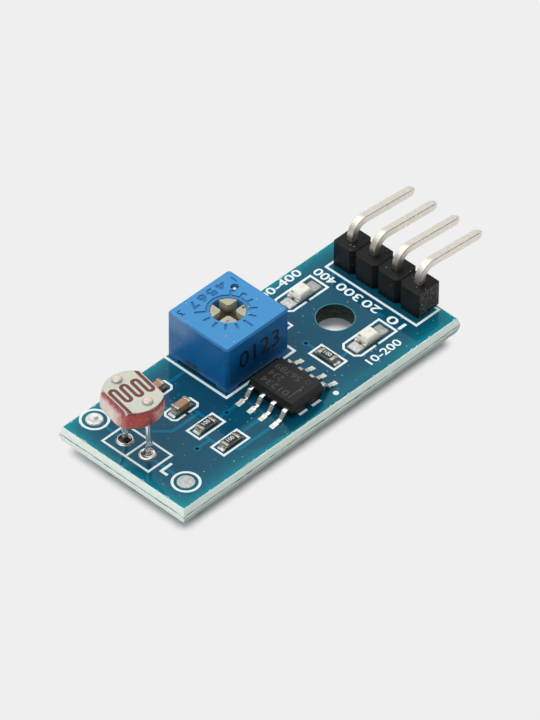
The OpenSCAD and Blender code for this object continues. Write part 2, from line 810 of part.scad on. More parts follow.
// Joint round a wire in a plated hole: barrel fill with a cone below, and one above if it has height
module hole_joint(hole_d, pad_r, top_h, bottom_h) {
    r = hole_d / 2;
    cone = top_h > 0
        ? [[pad_r, board_t], [pad_r * 0.62, board_t + top_h * 0.4], [0.32, board_t + top_h]]
        : [];
    rotate_extrude() polygon(concat(
        [[0, -bottom_h], [0.34, -bottom_h], [0.45, -bottom_h * 0.45], [pad_r, 0], [r, 0], [r, board_t]],
        cone, [[0, board_t + top_h]]));
}

module photoresistor_solder() {
    color("#c2c1bb") for (s = [-1, 1]) at(sensor_pads_at + [0, s * sensor_pitch / 2]) difference() {
        hole_joint(wire_hole_d, 0.78, 0.42, 0.9);
        translate([0, 0, -5]) cylinder(h = 10, d = wire_d);
    }
}

module trimmer_solder() {
    color("#c2c1bb") for (p = trim_pins) at(trimmer_at + p) difference() {
        hole_joint(pin_hole_d, 0.8, 0, 0.9);
        translate([0, 0, -5]) cylinder(h = 10, d = trim_pin_d);
    }
}

module header_solder() {
    color("#c2c1bb") for (i = [1:pin_count]) at(pin_at(i)) difference() {
        hole_joint(pin_hole_d, 0.85, 0, 1.0);
        translate([-pin_s / 2, -pin_s / 2, -5]) cube([pin_s, pin_s, 10]);
    }
}

module toe_fillet(further) {
    toe = ic_span / 2 + further;
    end = ic_span / 2 + 0.72 + further / 2;
    polygon([[toe, 0], [end, 0], [end, 0.04], [toe + 0.3, 0.06], [toe, 0.15]]);
}

// Fillet at the toe of each comparator foot, and flat tinning past it
module comparator_solder() {
    color("#cfcfc9") on_comparator(board_t) for (side = [0, 1], k = [0:3])
        mirror([side, 0, 0]) translate([0, lead_y(k), 0]) rotate([90, 0, 0])
            linear_extrude(0.5, center = true) toe_fillet(side == 0 ? ic_far_reach : 0);
}

// Fillet of solder at both ends of a chip of half length a
module end_fillets(a, w, h, pad) {
    for (side = [0, 1]) mirror([side, 0, 0]) rotate([90, 0, 0]) linear_extrude(w, center = true)
        polygon([[a, 0], [a + pad, 0], [a + pad, 0.04], [a + pad * 0.45, h * 0.3], [a, h]]);
}

module chip_solder() {
    color("#bdbab0") {
        for (p = resistors_at) on_chip(p) end_fillets(chip_l / 2, 0.74, 0.3, 0.42);
        for (p = capacitors_at) on_chip(p) end_fillets(chip_l / 2, 0.74, 0.4, 0.42);
        for (p = [signal_lamp_at, power_lamp_at]) at(p, board_t) end_fillets(lamp_l / 2, 1.15, 0.14, 0.8);
    }
}

// Plated spare pads filled with solder
module spare_pad_solder() {
    color("#c9c9c4") for (p = spare_pads_at) at(p) rotate_extrude()
        polygon([[0, -0.12], [0.5, -0.1], [0.74, 0], [wire_hole_d / 2, 0], [wire_hole_d / 2, board_t],
                 [0.74, board_t], [0.62, board_t + 0.09], [0.35, board_t + 0.14], [0, board_t + 0.15]]);
}

circuit_board();
photoresistor_ceramic();
photoresistor_cell_film();
photoresistor_electrode_film();
photoresistor_coating();
for (i = [1:2]) photoresistor_lead(i);
trimmer_housing();
trimmer_rotor();
trimmer_wiper();
trimmer_seal();
trimmer_plate();
trimmer_track();
trimmer_base();
for (i = [1:3]) trimmer_pin(i);
comparator_package();
comparator_die();
comparator_die_pad();
for (i = [1:8]) comparator_lead(i);
header_insulator();
for (i = [1:pin_count]) header_pin(i);
for (i = [1:4]) resistor_body(i);
for (i = [1:4]) resistor_ends(i);
for (i = [1:2]) capacitor_body(i);
for (i = [1:2]) capacitor_ends(i);
lamp_base(signal_lamp_at);  // signal_lamp_base
lamp_terminals(signal_lamp_at);  // signal_lamp_terminals
lamp_lens(signal_lamp_at);  // signal_lamp_lens
lamp_die(signal_lamp_at);  // signal_lamp_die
lamp_base(power_lamp_at);  // power_lamp_base
lamp_terminals(power_lamp_at);  // power_lamp_terminals
lamp_lens(power_lamp_at);  // power_lamp_lens
lamp_die(power_lamp_at);  // power_lamp_die
photoresistor_solder();
trimmer_solder();
header_solder();
comparator_solder();
chip_solder();
spare_pad_solder();
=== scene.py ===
"""Light sensor module: finishes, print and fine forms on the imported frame.

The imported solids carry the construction. This script gives each of them its material, replaces
the ones whose skin is softer than a plain solid (resin, solder, moulded edges), adds the printed
legend, the traces and the torn laminate of the board, and sets floor, light and camera. Sizes
are millimetres until a mesh is made.
"""
import json
import logging
import math
from dataclasses import dataclass, field
from enum import Enum
from typing import Any, Iterable, Sequence

import bmesh
import bpy
import numpy as np
from mathutils import Matrix, Quaternion, Vector

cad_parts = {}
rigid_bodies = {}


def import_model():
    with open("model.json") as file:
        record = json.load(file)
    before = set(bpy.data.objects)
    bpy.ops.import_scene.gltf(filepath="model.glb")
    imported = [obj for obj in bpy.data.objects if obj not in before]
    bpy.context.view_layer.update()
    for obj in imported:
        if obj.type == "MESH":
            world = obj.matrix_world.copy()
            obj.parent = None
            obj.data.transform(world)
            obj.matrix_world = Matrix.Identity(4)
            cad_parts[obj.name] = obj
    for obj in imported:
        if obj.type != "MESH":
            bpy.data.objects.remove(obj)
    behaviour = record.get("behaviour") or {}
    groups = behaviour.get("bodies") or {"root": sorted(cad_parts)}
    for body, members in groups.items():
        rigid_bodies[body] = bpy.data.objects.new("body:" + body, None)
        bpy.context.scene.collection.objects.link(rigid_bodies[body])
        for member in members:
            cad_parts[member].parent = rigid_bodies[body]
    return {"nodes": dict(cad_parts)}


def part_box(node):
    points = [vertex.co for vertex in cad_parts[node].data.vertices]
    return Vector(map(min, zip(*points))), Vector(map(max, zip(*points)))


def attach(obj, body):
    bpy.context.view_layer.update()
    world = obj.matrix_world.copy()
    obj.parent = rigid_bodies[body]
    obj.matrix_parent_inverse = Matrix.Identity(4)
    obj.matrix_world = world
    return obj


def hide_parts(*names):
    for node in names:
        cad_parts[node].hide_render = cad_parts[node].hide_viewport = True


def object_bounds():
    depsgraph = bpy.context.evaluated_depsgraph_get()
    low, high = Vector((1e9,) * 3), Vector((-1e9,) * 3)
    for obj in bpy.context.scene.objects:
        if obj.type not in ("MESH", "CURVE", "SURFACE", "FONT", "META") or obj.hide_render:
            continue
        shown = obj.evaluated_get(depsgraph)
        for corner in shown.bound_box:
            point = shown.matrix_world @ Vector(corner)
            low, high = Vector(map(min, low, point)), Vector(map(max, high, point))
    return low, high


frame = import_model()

Array = np.ndarray
Surface = tuple[Array, list[Sequence[int]]]

MM = 0.001
CAD_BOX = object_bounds()
LOG = logging.getLogger("light_sensor")


class Body(Enum):
    """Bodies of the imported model."""

    MODULE = "module"
    ROTOR = "rotor"


# Places and sizes read from the frame


def corners(node: str) -> tuple[Array, Array]:
    """Lowest and highest corner of a CAD node.

    Args:
        node: Name of the node.

    Returns:
        The two corners in millimetres.
    """
    low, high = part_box(node)
    return np.array(low) / MM, np.array(high) / MM


BOARD_LOW, BOARD_HIGH = corners("circuit_board")
TOP = float(BOARD_HIGH[2])
SCORE = 0.12  # How far a scored bevel cuts in from the edge of the board
RIDGE = 0.55  # Height of the ridge between the two bevels
TORN_Z = 0.73  # Height of the torn line on that ridge
FLAT_CORNER = BOARD_LOW[:2] + SCORE
PRINT_LOW = TOP - 0.01  # Underside of print and traces, which lies in the board
LEGEND_TOP = TOP + 0.02
TRACE_TOP = TOP + 0.012
STEP_MM = 0.0005  # Between bands that cross, so that no two tops lie in one plane
NODE_SLOT = {name: node.data.materials[0].name for name, node in frame["nodes"].items()}


def on_board(route: Any) -> Array:
    """Moves places measured from the low corner of the board's flat top to the frame.

    Args:
        route: Places as x, y pairs in millimetres.

    Returns:
        The same places in the frame, in millimetres.
    """
    return np.asarray(route, float) + FLAT_CORNER


# Arithmetic on arrays


def linear(code: str) -> tuple[float, float, float, float]:
    """Turns an sRGB hex colour into linear light with full alpha.

    Args:
        code: Colour as "#RRGGBB".

    Returns:
        Linear red, green, blue and alpha.
    """
    value = np.array([int(code[i:i + 2], 16) for i in (1, 3, 5)]) / 255
    light = np.where(value <= 0.04045, value / 12.92, ((value + 0.055) / 1.055) ** 2.4)
    return (float(light[0]), float(light[1]), float(light[2]), 1.0)


def smooth(value: Array | float, low: float, high: float) -> Array:
    """Rises from 0 at low to 1 at high as 3t squared minus 2t cubed.

    Args:
        value: Values to map.
        low: Where the rise starts.
        high: Where it ends; below low for a fall.

    Returns:
        The mapped values.
    """
    t = np.clip((np.asarray(value, float) - low) / (high - low), 0, 1)
    return t * t * (3 - 2 * t)


def noise(points: Array, size: Any, seed: int) -> Array:
    """Smooth random field: random values on a lattice, blended with 3t squared minus 2t cubed.

    Args:
        points: Places, with x, y, z in the last axis.
        size: Lattice spacing, one number or one for each axis.
        seed: Seed of the random values.

    Returns:
        A value from -1 to 1 for each place.
    """
    count = 32
    table = np.random.default_rng(seed).uniform(-1, 1, (count, count, count))
    spot = points / np.asarray(size, float)
    cell = np.floor(spot).astype(int)
    t = spot - cell
    t = t * t * (3 - 2 * t)
    total = np.zeros(points.shape[:-1])
    for corner in np.ndindex(2, 2, 2):
        weight = np.prod(np.where(corner, t, 1 - t), axis=-1)
        at = np.moveaxis((cell + corner) % count, -1, 0)
        total = total + weight * table[at[0], at[1], at[2]]
    return total


def curve_through(values: Sequence[Sequence[float]], count: int) -> Array:
    """Smooth line through a few places: a Catmull-Rom curve, evenly sampled in its parameter.

    Args:
        values: The places, each a row of numbers.
        count: Number of samples.

    Returns:
        The samples, one in each row.
    """
    knots = np.asarray(values, float)
    knots = np.vstack([2 * knots[0] - knots[1], knots, 2 * knots[-1] - knots[-2]])
    t = np.linspace(0, len(knots) - 3, count)
    i = np.minimum(t.astype(int), len(knots) - 4)
    t = (t - i)[:, None]
    a, b, c, d = (knots[i + k] for k in range(4))
    return 0.5 * (2 * b + (c - a) * t + (2 * a - 5 * b + 4 * c - d) * t ** 2
                  + (3 * b - a - 3 * c + d) * t ** 3)


def arc(centre: Sequence[float], radius: float, start: float, end: float, count: int = 8) -> Array:
    """Points along an arc.

    Args:
        centre: Centre of the arc.
        radius: Its radius.
        start: First angle in degrees.
        end: Last angle in degrees.
        count: Number of points.

    Returns:
        The points, one in each row.
    """
    turn = np.radians(np.linspace(start, end, count))
    return np.asarray(centre) + radius * np.stack([np.cos(turn), np.sin(turn)], -1)


def circle(centre: Sequence[float], radius: float, count: int) -> Array:
    """Points round a whole circle, without the first of them again at the end."""
    return arc(centre, radius, 0, 360 - 360 / count, count)


def full_turn(count: int) -> Array:
    """Even angles round a full turn in radians, without the first of them again at the end."""
    return np.linspace(0, 2 * math.pi, count, endpoint=False)


def sine_grid(count: int) -> Sequence[Array]:
    """Two grids from -1 to 1, one for each direction: the sine of even steps, so closer at the borders."""
    return np.meshgrid(*[np.sin(np.linspace(-math.pi / 2, math.pi / 2, count))] * 2, indexing="ij")


def stack_places(x: Any, y: Any, z: Any) -> Array:
    """Places from their three coordinates, each of which is spread to the shape of all three."""
    return np.stack(np.broadcast_arrays(x, y, z), -1)


def round_places(centre: Sequence[float], radius: Any, angle: Array, z: Any) -> Array:
    """Places round an upright axis: the radius times the cosine and the sine of the angle."""
    return stack_places(centre[0] + radius * np.cos(angle), centre[1] + radius * np.sin(angle), z)


def beside(degrees: Array, middle: float, spread: float) -> Array:
    """Bell round an angle: exp of minus the square of the turn to it over the spread."""
    return np.exp(-((np.mod(degrees - middle + 180, 360) - 180) / spread) ** 2)


def within(degrees: Array, start: float, end: float, soft: float = 12.0) -> Array:
    """Plateau between two angles, with smooth steps that reach the soft angle to both sides."""
    return smooth(degrees, start - soft, start + soft) * smooth(degrees, end + soft, end - soft)


# Surfaces


def grid_surface(points: Array, wrap_rows: bool = False, wrap_columns: bool = False) -> Surface:
    """Joins a grid of points by quads.

    Args:
        points: Grid of places, rows by columns by 3.
        wrap_rows: Whether the last row joins the first.
        wrap_columns: Whether the last column joins the first.

    Returns:
        Vertices and faces.
    """
    rows, columns = points.shape[:2]
    index = np.arange(rows * columns).reshape(rows, columns)
    if wrap_rows:
        index = np.vstack([index, index[:1]])
    if wrap_columns:
        index = np.hstack([index, index[:, :1]])
    quads = np.stack([index[:-1, :-1], index[:-1, 1:], index[1:, 1:], index[1:, :-1]], -1)
    return points.reshape(-1, 3), quads.reshape(-1, 4).tolist()


def closed_run(points: Array) -> Surface:
    """Joins a grid whose columns run round a body, and caps both of its ends.

    Args:
        points: Grid of places, rows by columns by 3.

    Returns:
        Vertices and faces.
    """
    rows, columns = points.shape[:2]
    vertices, faces = grid_surface(points, wrap_columns=True)
    last = (rows - 1) * columns
    return vertices, faces + [list(range(columns)), list(range(last, last + columns))[::-1]]


def closed_sheet(points: Array) -> Surface:
    """Joins a grid by quads and closes it with one face along its border, which lies in a plane.

    Args:
        points: Grid of places, rows by columns by 3.

    Returns:
        Vertices and faces.
    """
    vertices, faces = grid_surface(points)
    index = np.arange(len(vertices)).reshape(points.shape[:2])
    rim = np.concatenate([index[0, :-1], index[:-1, -1], index[-1, :0:-1], index[:0:-1, 0]])
    return vertices, faces + [rim.tolist()]


def plate(outline: Array, low: float, high: float) -> Surface:
    """Flat plate: an outline at two heights, joined round its rim.

    Args:
        outline: Convex outline, one x, y pair in each row.
        low: Height of the underside.
        high: Height of the top.

    Returns:
        Vertices and faces.
    """
    return closed_run(np.stack([np.column_stack([outline, np.full(len(outline), z)]) for z in (low, high)]))


def ribbon(route: Array, width: float, low: float, high: float, closed: bool = False) -> Surface:
    """Flat band along a route with mitred corners.

    Each point moves by half the width along the bisector of its two neighbours' normals,
    divided by the cosine of the half angle, so that the band keeps its width in a corner.

    Args:
        route: Points of the middle line, one x, y pair in each row.
        width: Width of the band.
        low: Height of its underside.
        high: Height of its top.
        closed: Whether the last point joins the first.

    Returns:
        Vertices and faces.
    """
    least_length, least_cosine = 1e-9, 0.3  # Against a division by 0, and against spikes
    ahead = np.roll(route, -1, axis=0) - route
    ahead /= np.maximum(np.linalg.norm(ahead, axis=1, keepdims=True), least_length)
    if not closed:
        ahead[-1] = ahead[-2]
    behind = np.roll(ahead, 1, axis=0)
    if not closed:
        behind[0] = ahead[0]
    normal = np.column_stack([-ahead[:, 1], ahead[:, 0]])
    middle = normal + np.column_stack([-behind[:, 1], behind[:, 0]])
    middle /= np.linalg.norm(middle, axis=1, keepdims=True)
    cosine = np.maximum((middle * normal).sum(1, keepdims=True), least_cosine)
    reach = width / 2 / cosine * middle
    heights = np.full(len(route), low), np.full(len(route), high)
    sides = [(route + reach, heights[0]), (route + reach, heights[1]),
             (route - reach, heights[1]), (route - reach, heights[0])]
    grid = np.stack([np.column_stack([line, z]) for line, z in sides], axis=1)
    return grid_surface(grid, wrap_rows=True, wrap_columns=True) if closed else closed_run(grid)


def revolve(profile: Array, centre: Sequence[float], count: int = 48) -> Surface:
    """Turns a profile about an upright axis.

    Args:
        profile: Radius and height pairs, one in each row.
        centre: Place of the axis.
        count: Number of columns round the axis.

    Returns:
        Vertices and faces; a radius of 0 makes a pole, which make_piece closes.
    """
    places = round_places(centre, profile[:, :1], full_turn(count), profile[:, 1:])
    return grid_surface(places, wrap_columns=True)


def cushion(low: Sequence[float], high: Sequence[float], rise: float, seed: int,
            base: float = TOP, lumps: float = 0.15) -> Surface:
    """Pillow of solder on a pad.

    Its height is the rise times (1 - u to the 8th)(1 - v to the 8th) to the power 0.5, with u
    and v from -1 to 1 across the pad, plus a share of lumps from the random field. Its sides pull
    in towards the corners by a small share of u or v to the 6th.

    Args:
        low: Low corner of the pad.
        high: High corner of the pad.
        rise: Height of the pillow.
        seed: Seed of the lumps.
        base: Height of the pad.
        lumps: Share of the rise that the lumps add.

    Returns:
        Vertices and faces.
    """
    pull, lump_size = 0.04, 0.22
    u, v = sine_grid(22)
    body = ((1 - u ** 8) * (1 - v ** 8)) ** 0.5
    x = (low[0] + high[0]) / 2 + u * (high[0] - low[0]) / 2 * (1 - pull * v ** 6)
    y = (low[1] + high[1]) / 2 + v * (high[1] - low[1]) / 2 * (1 - pull * u ** 6)
    z = base + rise * body * (1 + lumps * noise(stack_places(x, y, 0.0), lump_size, seed))
    return closed_sheet(stack_places(x, y, z))


def lettering(text: str, low: Sequence[float], high: Sequence[float], height: tuple[float, float],
              weight: float = 0.0, turn: int = 0) -> Surface:
    """Plain digits stretched to fill a rectangle.

    Args:
        text: The digits.
        low: Low corner of the rectangle.
        high: High corner of the rectangle.
        height: Heights of the underside and of the top of the letters.
        weight: How far the strokes are widened, as a share of the letter height.
        turn: Quarter turns anticlockwise of the reading direction.

    Returns:
        Vertices and faces.
    """
    curve = bpy.data.curves.new("digits", "FONT")
    curve.body = text
    curve.resolution_u = 3
    curve.offset = weight
    curve.extrude = 0.5  # Any thickness does, because the letters are stretched to theirs below
    holder = add_object("digits", curve)
    mesh = finished_mesh(holder)
    points = places_of(mesh)
    faces = [list(face.vertices) for face in mesh.polygons]
    for block, owner in ((holder, bpy.data.objects), (mesh, bpy.data.meshes), (curve, bpy.data.curves)):
        owner.remove(block)
    for _ in range(turn % 4):
        points = points * [1, -1, 1]
        points = points[:, [1, 0, 2]]
    share = (points - points.min(0)) / np.ptp(points, axis=0)
    start = np.array([*low, height[0]])
    return start + share * (np.array([*high, height[1]]) - start), faces


# Node trees

RANGE, MATH = "ShaderNodeMapRange", "ShaderNodeMath"
MIX, VECTOR = "ShaderNodeMix", "ShaderNodeVectorMath"
MIX_A, MIX_B, MIX_OUT = 6, 7, 2  # Colour inputs and colour output of a mix
STEP = "SMOOTHSTEP"
CLOUD_SPAN = (0.3, 0.7)  # Most values of a cloud lie between these
DUST = "#C6D2D0"
GLOW_SHARES = (1.0, 0.8, 0.6)  # How far red, green and blue light go, over the reach of the glow
GLOSS_PATCH = 3  # Size of the patches of gloss, over the size of the grain
LEAST_ROUGHNESS = 0.03
Tree = bpy.types.NodeTree
Socket = bpy.types.NodeSocket


def add_node(tree: Tree, kind: str, inputs: dict[Any, Any] | Sequence[Any] = (),
             **settings: Any) -> bpy.types.Node:
    """Adds a node with its settings, its input values and its links.

    Args:
        tree: Node tree to add to.
        kind: Type of the node.
        inputs: Value or source for each input, by name or number, or in their order. A source is
            a socket, or a node for its first output.
        **settings: Attributes of the node itself.

    Returns:
        The new node.
    """
    node = tree.nodes.new(kind)
    for key, value in settings.items():
        setattr(node, key, value)
    for key, value in inputs.items() if isinstance(inputs, dict) else enumerate(inputs):
        source = value.outputs[0] if isinstance(value, bpy.types.Node) else value
        if isinstance(source, bpy.types.NodeSocket):
            tree.links.new(source, node.inputs[key])
        else:
            node.inputs[key].default_value = source
    return node


@dataclass(frozen=True)
class Mark:
    """Soft mark of another colour at one place of a surface, in millimetres."""

    centre: tuple[float, float, float]
    reach: tuple[float, float, float]  # Half sizes along X, Y and Z
    colour: str
    share: float = 1.0  # How much of that colour it takes
    ragged: float = 0.3  # How far its border wanders, over its size
    core: float = 0.5  # Distance over size up to which it has its full share


@dataclass(frozen=True)
class Layer:
    """Colour that a surface takes where one of its attributes says so."""

    attribute: str  # Attribute of the mesh, from 0 to 1
    colour: str
    broken: float = 0.3  # How much a fine cloud breaks it up


@dataclass(frozen=True)
class Finish:
    """A material: colour, gloss and the pattern that the real surface shows, in millimetres."""

    name: str  # What the real material is
    colour: str
    roughness: float
    metallic: float = 0.0
    ior: float = 1.5  # Index of refraction of what is not metal
    second: tuple[str, float] = ("#808080", 1.0)  # Colour and size of the mottling
    second_share: float = 0.6  # How much of that colour the mottling takes
    stretch: tuple[float, float, float] = (1.0, 1.0, 1.0)  # How much shorter clouds are along X, Y, Z
    grain: tuple[float, float] = (0.1, 0.0)  # Size and height of the surface grain
    gloss_change: float = 0.0  # How much the roughness wanders
    dust: tuple[float, float] = (0.0, 1.0)  # Share of cells that hold a pale speck, and their size
    tint: str = "#FFFFFF"  # Colour of the reflection seen face on
    glow: tuple[float, float] = (0.0, 0.3)  # Share of light that comes out again nearby, and how far
    layers: tuple[Layer, ...] = ()  # Colours that follow attributes of the mesh
    marks: tuple[Mark, ...] = ()  # Colours at single places

    def build(self) -> bpy.types.Material:
        """Makes the material once.

        Returns:
            The material, which is found by its name from the second call on.
        """
        found = bpy.data.materials.get(self.name)
        if found:
            return found
        material = bpy.data.materials.new(self.name)
        material.use_nodes = True
        tree = material.node_tree
        shader = tree.nodes["Principled BSDF"]
        place = add_node(tree, "ShaderNodeTexCoord").outputs["Object"]
        steady = {"Roughness": self.roughness, "Metallic": self.metallic, "IOR": self.ior,
                  "Specular Tint": linear(self.tint), "Subsurface Weight": self.glow[0],
                  "Subsurface Scale": self.glow[1] * MM, "Subsurface Radius": GLOW_SHARES}
        for key, value in steady.items():
            shader.inputs[key].default_value = value
        colour = self.paint(tree, place)
        for layer in self.layers:
            colour = self.add_layer(tree, place, colour, layer)
        for mark in self.marks:
            colour = self.add_mark(tree, place, colour, mark)
        if self.dust[0]:
            speck = self.specks(tree, place)
            dusty = add_node(tree, MIX, {0: speck, MIX_A: colour, MIX_B: linear(DUST)}, data_type="RGBA")
            colour = dusty.outputs[MIX_OUT]
        tree.links.new(colour, shader.inputs["Base Color"])
        grain_mm, depth_mm = self.grain
        if self.gloss_change:
            cloud = self.cloud(tree, place, GLOSS_PATCH * grain_mm)
            low = max(self.roughness - self.gloss_change, LEAST_ROUGHNESS)
            rough = add_node(tree, RANGE, [cloud, *CLOUD_SPAN, low, self.roughness + self.gloss_change])
            tree.links.new(rough.outputs[0], shader.inputs["Roughness"])
        if depth_mm:
            grain = self.cloud(tree, place, grain_mm)
            settings = {"Height": grain, "Distance": depth_mm * MM, "Strength": 1.0}
            bump = add_node(tree, "ShaderNodeBump", settings)
            tree.links.new(bump.outputs["Normal"], shader.inputs["Normal"])
        return material

    def cloud(self, tree: Tree, place: Socket, size_mm: float, detail: float = 3.0) -> Socket:
        """Random cloud of a real size, stretched as the surface is.

        Args:
            tree: Node tree to add to.
            place: Socket of the object coordinates.
            size_mm: Size of the clouds.
            detail: Number of finer octaves.

        Returns:
            Socket of a value from 0 to 1.
        """
        scaled = add_node(tree, "ShaderNodeMapping", {"Vector": place, "Scale": self.stretch})
        return add_node(tree, "ShaderNodeTexNoise", {
            "Vector": scaled, "Scale": 1 / (size_mm * MM), "Detail": detail}).outputs["Fac"]

    def add_layer(self, tree: Tree, place: Socket, colour: Socket, layer: Layer) -> Socket:
        """Mixes in a layer by its attribute, broken up by a fine cloud.

        Args:
            tree: Node tree to add to.
            place: Socket of the object coordinates.
            colour: Socket of the colour so far.
            layer: The layer.

        Returns:
            Socket of the mixed colour.
        """
        depth = add_node(tree, "ShaderNodeAttribute", attribute_name=layer.attribute).outputs["Fac"]
        size_mm, detail = 0.35, 5.0
        cloud = self.cloud(tree, place, size_mm, detail)
        limits = (*CLOUD_SPAN, -layer.broken, layer.broken)
        broken = add_node(tree, RANGE, [cloud, *limits], interpolation_type=STEP)
        share = add_node(tree, MATH, [depth, broken], operation="ADD", use_clamp=True)
        held = add_node(tree, MATH, [share, depth], operation="MULTIPLY")
        root = add_node(tree, MATH, [held, 0.5], operation="POWER")
        return add_node(tree, MIX, {0: root, MIX_A: colour, MIX_B: linear(layer.colour)},
                        data_type="RGBA").outputs[MIX_OUT]

    def add_mark(self, tree: Tree, place: Socket, colour: Socket, mark: Mark) -> Socket:
        """Mixes in a mark by the distance from its centre over its size, plus a cloud.

        Args:
            tree: Node tree to add to.
            place: Socket of the object coordinates.
            colour: Socket of the colour so far.
            mark: The mark.

        Returns:
            Socket of the mixed colour.
        """
        offset = add_node(tree, VECTOR, [place, [v * MM for v in mark.centre]], operation="SUBTRACT")
        scaled = add_node(tree, VECTOR, [offset, [1 / (v * MM) for v in mark.reach]],
                          operation="MULTIPLY")
        away = add_node(tree, VECTOR, [scaled], operation="LENGTH").outputs["Value"]
        cloud_over_reach = 0.6
        cloud = self.cloud(tree, place, cloud_over_reach * min(mark.reach))
        level = add_node(tree, MATH, [cloud, 2 * mark.ragged, away], operation="MULTIPLY_ADD")
        limits = (1 + mark.ragged, mark.core + mark.ragged, 0.0, mark.share)
        share = add_node(tree, RANGE, [level, *limits], interpolation_type=STEP)
        return add_node(tree, MIX, {0: share, MIX_A: colour, MIX_B: linear(mark.colour)},
                        data_type="RGBA").outputs[MIX_OUT]

    def specks(self, tree: Tree, place: Socket) -> Socket:
        """Dust: one small dot in some of the cells of a random mosaic.

        Args:
            tree: Node tree to add to.
            place: Socket of the object coordinates.

        Returns:
            Socket that is 1 on a speck and 0 elsewhere.
        """
        radius_share = 0.11  # Radius of the largest speck over the size of a cell
        cells = add_node(tree, "ShaderNodeTexVoronoi", {
            "Vector": place, "Scale": 1 / (self.dust[1] * MM), "Randomness": 1.0})
        parts = add_node(tree, "ShaderNodeSeparateColor", [cells.outputs["Color"]])
        size = add_node(tree, MATH, [parts.outputs["Red"], radius_share], operation="MULTIPLY")
        near = add_node(tree, MATH, [cells.outputs["Distance"], size], operation="LESS_THAN")
        held = add_node(tree, MATH, [parts.outputs["Green"], self.dust[0]], operation="LESS_THAN")
        return add_node(tree, MATH, [near, held], operation="MULTIPLY").outputs[0]

    def paint(self, tree: Tree, place: Socket) -> Socket:
        """Colour pattern.

        Args:
            tree: Node tree to add to.
            place: Socket of the object coordinates.

        Returns:
            Socket of the colour.
        """
        span = (0.38, 0.66)  # Values of the cloud at which the mottling starts and is whole
        second, size_mm = self.second
        cloud = self.cloud(tree, place, size_mm)
        share = add_node(tree, RANGE, [cloud, *span, 0.0, self.second_share], interpolation_type=STEP)
        return add_node(tree, MIX, {0: share, MIX_A: linear(self.colour), MIX_B: linear(second)},
                        data_type="RGBA").outputs[MIX_OUT]


@dataclass(frozen=True)
class MaskFinish(Finish):
    """Solder mask: copper below darkens it, and light through the laminate lifts its borders."""

    border: str = "#00909E"  # Colour right at the edges of the board
    border_mm: float = 0.68  # How far that colour fades in

    def paint(self, tree: Tree, place: Socket) -> Socket:
        """Fades from the border to the inner colour as 1 minus the product of (1 - exp(-d / reach)).

        Args:
            tree: Node tree to add to.
            place: Socket of the object coordinates.

        Returns:
            Socket of the colour.
        """
        axes = add_node(tree, "ShaderNodeSeparateXYZ", [place])
        reach = self.border_mm * MM
        kept: Any = 1.0
        for axis in (0, 1):
            middle = (BOARD_LOW[axis] + BOARD_HIGH[axis]) / 2 * MM
            half = (BOARD_HIGH[axis] - BOARD_LOW[axis]) / 2 * MM
            offset = add_node(tree, MATH, [axes.outputs[axis], middle], operation="SUBTRACT")
            far = add_node(tree, MATH, [offset], operation="ABSOLUTE")
            depth = add_node(tree, MATH, [far, 1 / reach, -half / reach], operation="MULTIPLY_ADD")
            glow = add_node(tree, MATH, [math.e, depth], operation="POWER")
            rest = add_node(tree, MATH, [1.0, glow], operation="SUBTRACT", use_clamp=True)
            kept = add_node(tree, MATH, [kept, rest], operation="MULTIPLY").outputs[0]
        inner = super().paint(tree, place)
        return add_node(tree, MIX, {0: kept, MIX_A: linear(self.border), MIX_B: inner},
                        data_type="RGBA").outputs[MIX_OUT]


@dataclass(frozen=True)
class TornLaminate(Finish):
    """Scored and snapped glass laminate: pale fibres in layers, and a darker torn line at mid height."""

    torn: str = "#2C4435"  # Colour of the torn line
    line_mm: tuple[float, float] = (0.07, 0.035)  # From its middle to its end, and to where it is whole
    wander_mm: tuple[float, float] = (0.22, 2.0)  # How far it wanders up and down, and over what length
    gaps: tuple[float, float, float, float] = (0.35, 0.55, 0.35, 1.0)  # Cloud values, and shares there
    gap_mm: float = 0.8

    def paint(self, tree: Tree, place: Socket) -> Socket:
        """Layers of fibre along the edge, and the torn line where z is near the middle.

        Args:
            tree: Node tree to add to.
            place: Socket of the object coordinates.

        Returns:
            Socket of the colour.
        """
        fibres = super().paint(tree, place)
        z = add_node(tree, "ShaderNodeSeparateXYZ", [place]).outputs["Z"]
        height_mm, length_mm = self.wander_mm
        wander = self.cloud(tree, place, length_mm)
        level = add_node(tree, MATH, [wander, height_mm * MM, z], operation="MULTIPLY_ADD")
        middle = (TORN_Z + height_mm / 2) * MM
        away = add_node(tree, MATH, [level, middle], operation="SUBTRACT")
        depth = add_node(tree, MATH, [away], operation="ABSOLUTE")
        limits = [v * MM for v in self.line_mm]
        line = add_node(tree, RANGE, [depth, *limits, 0.0, 1.0], interpolation_type=STEP)
        cloud = self.cloud(tree, place, self.gap_mm)
        broken = add_node(tree, RANGE, [cloud, *self.gaps], interpolation_type=STEP)
        share = add_node(tree, MATH, [line, broken], operation="MULTIPLY")
        return add_node(tree, MIX, {0: share, MIX_A: fibres, MIX_B: linear(self.torn)},
                        data_type="RGBA").outputs[MIX_OUT]


# Finishes, each named for the real material and how its surface was made

